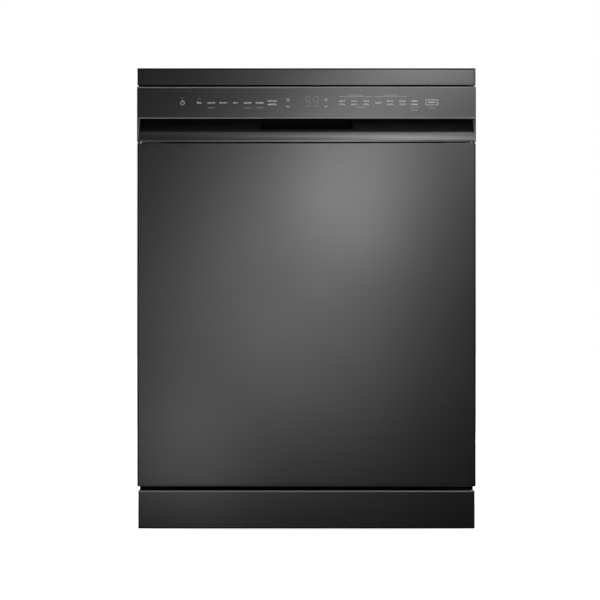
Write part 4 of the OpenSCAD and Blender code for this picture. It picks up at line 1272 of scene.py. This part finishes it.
def dispenser():
    low, high = corners("dispenser_body")
    face = liner_high.y - PAN_DEPTH + 3
    body = Piece().pad((low.x + 4, low.y, low.z + 4), (high.x - 4, face - 2, high.z - 4), 6, 2, Y)
    rim = [round_rect(low.x + k, high.x - k, low.z + k, high.z - k, 12 - k, 5) for k in (0, 0.6, 2.2, 9, 9)]
    ys = (face - 3, face - 0.6, face, face, face - 2.6)
    rings = [at_y(outline, y) for outline, y in zip(rim, ys)]
    body.loft(rings + [at_y(rim[-1], face - 3)], loop=True)
    low_cup, high_cup = corners("detergent_lid")
    body.pad((low.x + 9, face - 4, low.z + 9), (high.x - 9, face - 1.6, low.z + 60), 8, 0.8, Y)
    for x in (low_cup.x - 2.6, high_cup.x + 0.6):
        body.pad((x, face - 2, low.z + 8), (x + 2.2, face + 4, high.z - 8), 0.8, 0.8, Y)
    cup_x0, cup_x1, cup_z0, cup_z1 = low_cup.x + 5, high_cup.x - 4.7, low_cup.z + 2, high_cup.z - 2

    def cup_ring(grow, y, radius=8, grow_z=None):
        """The cup's outline made larger all round, or otherwise in z, at the depth y."""
        up = grow if grow_z is None else grow_z
        return at_y(round_rect(cup_x0 - grow, cup_x1 + grow, cup_z0 - up, cup_z1 + up, radius, 5), y)

    body.loft([cup_ring(3, face - 2.6), cup_ring(3, face - 0.2), cup_ring(0.4, face), cup_ring(0, face - 1),
               cup_ring(-3, face - 25), cup_ring(-30, face - 25, 4, -25), cup_ring(-2, face - 27, 8, 1),
               cup_ring(1, face - 2.6)], loop=True)
    cap = middle("rinse_aid_cap")
    body.lathe([(16.4, -10), (16.4, 0), (21.5, 0.2), (22.4, -0.6), (22.4, -3), (17.6, -10)],
               (cap.x, face, cap.z), Y, 40, loop=True)
    body.pad((high.x - 46, face - 1.7, low.z + 16), (high.x - 18, face - 0.4, low.z + 52), 5, 0.6, Y)
    body.make("dispenser_case", "door", "grey_plastic", ["dispenser_body"])
    lid = Piece()
    x0, z0, x1, y1, z1 = low_cup.x, low_cup.z, high_cup.x, high_cup.y, high_cup.z
    lid.pad(low_cup, (x1, y1 - 1.2, z1), 7, 1.1, Y)
    lid.pad((x0 + 22, y1 - 2, z0 + 5), (x1 - 22, y1, z0 + 11), 2.5, 1, Y)
    lid.pad((x0 + 8, y1 - 1.6, z0 + 20), (x1 - 8, y1 - 0.8, z1 - 8), 5, 0.5, Y)
    lid.make("detergent_slide", body_of("detergent_lid"), "grey_plastic", ["detergent_lid"],
             finish="light_plastic")
    low_cap, high_cap = corners("rinse_aid_cap")
    knob = Piece()
    radius = high_cap.x - cap.x
    knob.lathe([(5, low_cap.y), (14, low_cap.y), (15.8, low_cap.y + 1), (15.8, face + 0.3),
                (radius - 1, face + 0.4), (radius, face + 1.2), (radius - 0.4, face + 2.2),
                (radius - 2, face + 2.7), (12, face + 2.2), (3, face + 2.2)], (cap.x, 0, cap.z), Y, 40)
    knob.pad((cap.x - 3, face + 1.5, cap.z - 16), (cap.x + 3, high_cap.y, cap.z + 16), 2.8, 1, Y)
    knob.make("rinse_knob", body_of("rinse_aid_cap"), "grey_plastic", ["rinse_aid_cap"])


# ---- racks ----

def hoop(piece, x, y, z, corner, radius, sides=6):
    """A closed rounded rectangle of wire at height z; x and y are its spans."""
    piece.wire(at_z(round_rect(*x, *y, corner, 4), z), radius, sides, closed=True)


RACK_HALF = 243.0


def wire_basket(piece, low, high, y0, y1, across, along):
    """A basket of round wire: rims, U-shaped wires both ways, and a floor frame."""
    x1 = RACK_HALF
    z0, z1 = low + 1.8, high - 2.4
    rim = 2.3
    hoop(piece, (-x1 + 0.6, x1 - 0.6), (y0 + 2, y1 - 2), z1, 16, rim, 8)
    hoop(piece, (-x1 + 0.4, x1 - 0.4), (y0 + 1.8, y1 - 1.8), (z0 * 0.45 + z1 * 0.55), 14, 1.7)
    hoop(piece, (-x1 + 16, x1 - 16), (y0 + 16, y1 - 16), z0, 12, 1.7)
    for i in range(across):
        y = y0 + 22 + (y1 - y0 - 44) * i / (across - 1)
        half = [(x1 - 10, y, z0), (x1 - 2.2, y, z0 + 8), (x1 - 2.2, y, z1)]
        path = [(-x, y, z) for x, y, z in half[::-1]] + half
        piece.wire(round_corners(path, 8, 3), 1.35, 6, tips=True)
    for i in range(along):
        x = -x1 + 22 + (2 * x1 - 44) * i / (along - 1)
        path = [(x, y0 + 3.6, z1), (x, y0 + 3.6, z0 + 10), (x, y0 + 11.5, z0 + 2.6), (x, y1 - 11.5, z0 + 2.6),
                (x, y1 - 3.6, z0 + 10), (x, y1 - 3.6, z1)]
        piece.wire(round_corners(path, 8, 3), 1.35, 6, tips=True)


PIN_PITCH = 34
PIN_MIDDLE = -3
PIN_Y0 = PIN_MIDDLE - PIN_PITCH * 4.5


def pins(piece, x, z0, z1, radius=1.9):
    """A row of upright pins on a base rod."""
    piece.wire([(x, PIN_Y0 - 16, z0), (x, PIN_Y0 + 9 * PIN_PITCH + 16, z0)], radius, 8, tips=True)
    for i in range(10):
        y = PIN_Y0 + i * PIN_PITCH
        path = [(x, y, z0), (x, y, (z0 + z1) / 2), (x, y, z1)]
        piece.wire(round_corners(path, 12, 3), radius, 8, tips=True)


def handle_bar(name, body, low, high):
    """A moulded grip on a rack's front rim, with a window for the fingers."""
    (x0, y0, z0), (x1, y1, z1) = low, high
    outer = [round_rect(x0 + k, x1 - k, z0 + k, z1 - k, 9 - k, 5) for k in (1.2, 0, 0, 1.2)]
    inner = [round_rect(x0 + 14 - k, x1 - 14 + k, z0 + 10 - k, z1 - 8 + k, 4, 5) for k in (1, 0, 0, 1)]
    ys = (y0, y0 + 1.4, y1 - 1.4, y1)
    rings = [at_y(outline, y) for outline, y in zip(outer + inner[::-1], ys + ys[::-1])]
    Piece().loft(rings, loop=True).make(name, body, "grey_plastic")


def lower_rack():
    low, high = corners("lower_basket")
    wheel_low, wheel_high = corners("lower_wheels_front")
    y0, y1 = low.y + 8, high.y
    rack_top = high.z - 6
    z_low = high.z - 120
    rack = Piece()
    wire_basket(rack, z_low, rack_top, y0, y1, 13, 12)
    for x in (30, 100):
        pins(rack, x, z_low + 6, z_low + 82)
    rack.make("lower_rack_wires", "lower_rack", "rack_wire", ["lower_basket"])
    for node in ("lower_tines_left", "lower_tines_mid"):
        row = Piece()
        pin_low, pin_high = corners(node)
        pins(row, middle(node).x, pin_low.z + 2.5, pin_high.z - 0.4, 1.8)
        row.make(node + "_row", body_of(node), "rack_wire", [node])
    clips = Piece()
    fold_z = corners("lower_tines_left")[0].z + 2.5
    for node in ("lower_tines_left", "lower_tines_mid"):
        x = middle(node).x
        for y in (PIN_MIDDLE - 3 * PIN_PITCH, PIN_MIDDLE + 3 * PIN_PITCH):
            clips.lathe([(2.6, -5), (4.6, -5), (5.2, -4.2), (5.2, 4.2), (4.6, 5), (2.6, 5)],
                        (x, y + 8, fold_z), Y, 20, loop=True)
            clips.pad((x - 4, y + 4, z_low + 3), (x + 4, y + 12, fold_z - 3.5), 2, 0.8)
    for side in (-1, 1):
        for node in ("lower_wheels_front", "lower_wheels_rear"):
            centre = middle(node)
            x0, x1 = span(side, RACK_HALF + 0.2, -wheel_low.x - 12.4)
            clips.pad((x0, centre.y - 13, centre.z - 8), (x1, centre.y + 13, z_low + 16), 5, 1, X)
            clips.pad((x0, centre.y - 20, z_low + 8), (x1, centre.y + 20, z_low + 18), 3, 1, X)
            axle = [(side * x, centre.y, centre.z) for x in (246, wheel_high.x + 1.2)]
            clips.wire(axle, 2.9, 16, tips=True)
    clips.make("lower_rack_carriers", "lower_rack", "grey_plastic")
    handle_bar("lower_rack_grip", "lower_rack", (-58, low.y, high.z - 32), (58, y0 - 0.2, high.z))


def wheels():
    for node in ("lower_wheels_front", "lower_wheels_rear"):
        low, high = corners(node)
        centre = middle(node)
        radius = (high.z - low.z) / 2
        width = 11.6
        tyres = Piece()
        for side in (-1, 1):
            x_mid = side * (high.x - width / 2)
            half = width / 2
            at = (x_mid, centre.y, centre.z)
            inner, outer = 5.2, radius - 3.6
            tyres.lathe([(outer, -half), (radius - 1, -half), (radius, -half + 1.4), (radius, half - 1.4),
                         (radius - 1, half), (outer, half), (radius - 4.2, half - 2),
                         (radius - 4.2, 2 - half)], at, X, 40, loop=True)
            tyres.lathe([(3.1, -half), (5.4, -half), (6, -half + 1), (6, half - 1), (5.4, half), (3.1, half)],
                        at, X, 24, loop=True)
            for c, s in circle(0, 0, 1, 5):
                outline = [(centre.y + c * r - s * w, centre.z + s * r + c * w)
                           for r, w in ((inner, -2.2), (outer, -1.6), (outer, 1.6), (inner, 2.2))]
                tyres.prism(outline, X, x_mid - 3.4, x_mid + 3.4, bevel=0.4)
        tyres.make(node + "_pair", body_of(node), "grey_plastic", [node])


def cutlery_box():
    """A slotted basket of four cells with a carrying handle."""
    low, high = corners("cutlery_basket")
    top = low.z + 118
    box = Piece()
    cells = 4
    step = (high.y - low.y - 3) / cells
    box.pad(low, (high.x, high.y, low.z + 2.4), 6, 1)
    for z in (top - 5, low.z + 62, low.z + 30):
        outer = round_rect(low.x, high.x, low.y, high.y, 7, 4)
        inner = round_rect(low.x + 2.4, high.x - 2.4, low.y + 2.4, high.y - 2.4, 5, 4)
        tall = 5 if z > top - 10 else 3
        box.loft([at_z(ring, h) for ring, h in
                  ((outer, z), (outer, z + tall), (inner, z + tall), (inner, z))], loop=True)
    for side_x in (low.x + 0.4, high.x - 2.4):
        for i in range(31):
            y = low.y + 6 + (high.y - low.y - 15) * i / 30
            box.pad((side_x, y, low.z + 1), (side_x + 2, y + 3, top - 3), 0.5, 0.3)
    for side_y in (low.y + 0.4, high.y - 2.4):
        for i in range(10):
            x = low.x + 6 + (high.x - low.x - 15) * i / 9
            box.pad((x, side_y, low.z + 1), (x + 3, side_y + 2, top - 3), 0.5, 0.3)
    for i in range(1, cells):
        y = low.y + 1.5 + i * step
        box.pad((low.x + 2, y - 1, low.z + 1), (high.x - 2, y + 1, top - 2), 0.6, 0.4)
    mid_x = (low.x + high.x) / 2
    y0, y1 = low.y + 1.5 + step, high.y - 1.5 - step
    box.wire(round_corners([(mid_x, y0, top - 12), (mid_x, y0, high.z - 3), (mid_x, y1, high.z - 3),
                            (mid_x, y1, top - 12)], 14, 5), 3, 10, tips=True)
    box.make("cutlery_box", body_of("cutlery_basket"), "grey_plastic", ["cutlery_basket"])


def upper_rack():
    low, high = corners("upper_basket")
    y0, y1 = low.y + 8, high.y
    rack = Piece()
    rack_low, rack_top = low.z, high.z - 6
    wire_basket(rack, rack_low, rack_top, y0, y1, 12, 12)
    for x in (-70, 0, 70):
        pins(rack, x, rack_low + 6, rack_low + 56, 1.6)
    rack.make("upper_rack_wires", "upper_rack", "rack_wire", ["upper_basket"])
    rails = Piece()
    rail_low, rail_high = corners("rails_middle")
    x_web, z0, z1 = 248.2, rail_low.z + 2.2, rail_high.z - 2.2
    for side in (-1, 1):
        lower = [(x_web, z0), (high.x, z0), (high.x, z0 + 1.3), (x_web + 1.4, z0 + 1.3)]
        upper = [(x, z0 + z1 - z) for x, z in lower[::-1]]
        outline = [(side * x, z) for x, z in lower + upper]
        rails.prism(outline, Y, rail_low.y, y1, bevel=0.3)
    rails.make("upper_rack_rails", "upper_rack", "tub_steel")
    blocks = Piece()
    for side in (-1, 1):
        for y in (-160, 0, 160):
            x0, x1 = span(side, RACK_HALF + 0.2, 248.6)
            blocks.pad((x0, y - 14, z0 + 2), (x1, y + 14, z1 - 2), 4, 1, X)
    blocks.make("upper_rack_blocks", "upper_rack", "grey_plastic")
    handle_bar("upper_rack_grip", "upper_rack", (-58, low.y, high.z - 28), (58, y0 - 0.2, high.z))
    for node in ("cup_shelf_left", "cup_shelf_right"):
        cup_shelf(node)


def cup_shelf(node):
    """A moulded fold-down shelf: rounded frame, slats and a hinge rod."""
    low, high = corners(node)
    side = 1 if low.x > 0 else -1
    hinge_x = side * 237
    edge_x = side * (abs(low.x) if side > 0 else abs(high.x))
    shelf = Piece()
    mid_z = (low.z + high.z) / 2
    x0, x1 = sorted((edge_x, hinge_x - side * 1))
    outer = round_rect(x0, x1, -180, 180, 10, 5)
    inner = round_rect(x0 + 5, x1 - 5, -175, 175, 6, 5)
    shelf.loft([at_z(ring, mid_z + up) for ring, up in
                ((outer, -0.8), (outer, 0.8), (inner, 1.5), (inner, -1.5))], loop=True)
    for i in range(1, 14):
        y = -180 + 360 * i / 14
        shelf.wire([(x0 + 3, y, mid_z), ((x0 + x1) / 2, y, mid_z - 0.2), (x1 - 3, y, mid_z)], 1.3, 6)
    for t in (0.36, 0.68):
        x = x0 + (x1 - x0) * t
        shelf.wire([(x, -177, mid_z), (x, 177, mid_z)], 1.4, 6)
    shelf.wire([(hinge_x, -180, mid_z), (hinge_x, 180, mid_z)], 2.4, 10, tips=True)
    shelf.make(node + "_grid", body_of(node), "grey_plastic", [node])


TUBE_Z = 480


def feed_tube():
    low, high = corners("upper_feed_tube")
    hub = middle("upper_spray_arm")
    tube = Piece()
    z = TUBE_Z
    tube.wire(round_corners([(0, high.y, z), (0, hub.y + 14, z), (0, hub.y, z - 10)], 12, 5), 8.8, 16)
    tube.lathe([(6, low.z + 3), (6, z - 18), (10, z - 17), (13.6, z - 14), (13.6, z - 3), (9, z + 4),
                (2, z + 6)], (hub.x, hub.y, 0))
    tube.lathe([(5, low.z), (8.6, low.z), (9, low.z + 1), (9, low.z + 4), (6, low.z + 5)], (hub.x, hub.y, 0))
    for y in (60, 180):
        tube.pad((-9.6, y, z - 9), (9.6, y + 10, z + 9.6), 2, 1)
        tube.pad((-4, y + 1, z + 8), (4, y + 9, high.z), 1.5, 0.6)
    tube.make("feed_tube", "upper_rack", "grey_plastic", ["upper_feed_tube"])


# ---- stage ----

LENS_MM = 135.6
CAMERA_ACROSS, CAMERA_DISTANCE, CAMERA_UP = -0.0115, 4.0, 0.409
FLOOR_HALF = 12


def stage_and_camera():
    ground = bpy.data.meshes.new("floor")
    half = FLOOR_HALF
    ground.from_pydata([(-half, -half, 0), (half, -half, 0), (half, half, 0), (-half, half, 0)], [],
                       [(0, 1, 2, 3)])
    floor = bpy.data.objects.new("floor", ground)
    bpy.context.scene.collection.objects.link(floor)
    paint, tree, shader = shaded("floor_paint", (grey(0.85), grey(0.85)), (0.9, 0.9), Emission_Strength=0.9)
    patches = noise_in(tree, 0.7, detail=2.0)
    tree.links.new(ramp(tree, patches, grey(0.9), grey(0.93)), shader.inputs["Base Color"])
    shader.inputs["Emission Color"].default_value = (1, 1, 1, 1)
    ground.materials.append(paint)
    floor.visible_glossy = False
    camera = bpy.data.objects.new("camera", bpy.data.cameras.new("camera"))
    bpy.context.scene.collection.objects.link(camera)
    camera.data.lens = LENS_MM
    camera.data.clip_end = 60
    camera.location = (CAMERA_ACROSS, cad_low.y - CAMERA_DISTANCE, CAMERA_UP)
    camera.rotation_euler = (math.pi / 2, 0, 0)
    bpy.context.scene.camera = camera


FRONT_DIM = 0.02


def sky():
    """White behind the object; for its light, grey that is brighter overhead and below and dim in front."""
    world = bpy.data.worlds.new("studio")
    bpy.context.scene.world = world
    world.use_nodes = True
    tree = world.node_tree
    back = tree.nodes["Background"]
    back.inputs["Color"].default_value = (1, 1, 1, 1)
    back.inputs["Strength"].default_value = 1.0
    soft = tree.nodes.new("ShaderNodeBackground")
    place = tree.nodes.new("ShaderNodeTexCoord")
    split = tree.nodes.new("ShaderNodeSeparateXYZ")
    tree.links.new(place.outputs["Generated"], split.inputs["Vector"])
    shade = tree.nodes.new("ShaderNodeValToRGB")
    up = node_of(tree, "MapRange", From_Min=-1.0, From_Max=1.0, To_Min=0.0, To_Max=1.0)
    tree.links.new(split.outputs["Z"], up.inputs["Value"])
    stops = shade.color_ramp.elements
    stops[0].position, stops[0].color = 0.1, (0.6, 0.6, 0.6, 1)
    stops[1].position, stops[1].color = 0.95, (0.7, 0.7, 0.7, 1)
    for at, value in ((0.38, 0.25), (0.62, 0.25)):
        stop = stops.new(at)
        stop.color = (value, value, value, 1)
    tree.links.new(up.outputs["Result"], shade.inputs["Fac"])
    tree.links.new(shade.outputs["Color"], soft.inputs["Color"])
    ahead = node_of(tree, "MapRange", From_Min=-0.55, From_Max=0.1, To_Min=FRONT_DIM, To_Max=1.0)
    tree.links.new(split.outputs["Y"], ahead.inputs["Value"])
    tree.links.new(ahead.outputs["Result"], soft.inputs["Strength"])
    ray = tree.nodes.new("ShaderNodeLightPath")
    mix = tree.nodes.new("ShaderNodeMixShader")
    tree.links.new(ray.outputs["Is Camera Ray"], mix.inputs["Fac"])
    tree.links.new(soft.outputs["Background"], mix.inputs[1])
    tree.links.new(back.outputs["Background"], mix.inputs[2])
    tree.links.new(mix.outputs["Shader"], tree.nodes["World Output"].inputs["Surface"])


def softbox(name, place, aim, wide, tall, power):
    """A rectangular light at a place, aimed at a point, both in metres."""
    light = bpy.data.lights.new(name, "AREA")
    light.shape = "RECTANGLE"
    light.size, light.size_y = wide, tall
    light.energy = power
    made = bpy.data.objects.new(name, light)
    bpy.context.scene.collection.objects.link(made)
    made.location = place
    made.rotation_euler = (Vector(aim) - Vector(place)).to_track_quat("-Z", "Y").to_euler()
    made.visible_camera = False


# Small soft lights in front: across, forward and up in metres, width, and power in watts.
FRONT_LIGHTS = {
    "low_left": (-0.2, -1.7, 0.3, 0.35, 0.5), "low": (0.0, -1.7, 0.3, 0.35, 0.7),
    "middle": (0.0, -1.7, 0.6, 0.35, 0.9), "right": (0.45, -1.7, 0.9, 0.35, 0.5),
    "upper": (0.0, -0.9, 1.2, 0.2, 0.3), "high": (0.15, -0.9, 1.2, 0.2, 0.8),
    "high_right": (0.25, -0.9, 1.0, 0.2, 0.7), "crest": (0.1, -0.9, 0.75, 0.2, 0.2),
    "below_crest": (0.1, -0.9, 0.6, 0.2, 0.2), "foot_left": (-0.25, -0.9, 0.1, 0.2, 0.1),
}
# The other lights: place and aim in metres, width, height, and power in watts.
LIGHTS = {
    "top": ((0.0, 0.9, 2.4), (0, 0.9, 0.4), 3.0, 2.3, 25),
    "lip": ((0.3, -1.25, 2.3), (0.2, -0.3, 0.7), 0.35, 0.5, 2.5),
    "back": ((0.6, 2.6, 1.4), (0, 0, 0.4), 1.4, 1.4, 30),
    "left_side": ((-2.6, 0.6, 1.2), (0, 0, 0.4), 1.2, 1.4, 25),
    "right_side": ((2.6, 0.6, 1.2), (0, 0, 0.4), 1.2, 1.4, 25),
}


# ---- putting it together ----

stage_and_camera()
sky()
for light_name, settings in LIGHTS.items():
    softbox(light_name, *settings)
for light_name, (across, forward, up, width, power) in FRONT_LIGHTS.items():
    softbox(light_name, (across, forward, up), (across, cad_low.y, 0.85 * up + 0.06), width, width, power)

for build in (outer_door, hand_recess, finger_pocket, recess_caps, panel_shell, display, panel_print, digits,
              worktop, plinth, side_sheets, back_sheet, rear_fittings, feet, tub_lining, tub_base, sill_step,
              seal, balance_springs, riser, filter_parts, salt_lid):
    build()
spray_arm("lower_spray_arm", "lower_arm", 24, 13, 20, 7)
spray_arm("upper_spray_arm", "upper_arm", 20, 11, 17, 7)
for build in (ceiling_rose, door_inner, door_small_parts, dispenser, lower_rack, wheels, cutlery_box,
              upper_rack, feed_tube):
    build()

slots = {row["node"]: row["material_slot"] for row in frame["record"]["subparts"]}
for name, cad in frame["nodes"].items():
    if not cad.hide_render:
        cad.data.materials.clear()
        cad.data.materials.append(FINISH[SLOT_FINISH[slots[name]]])

bpy.context.scene.view_settings.view_transform = "Standard"
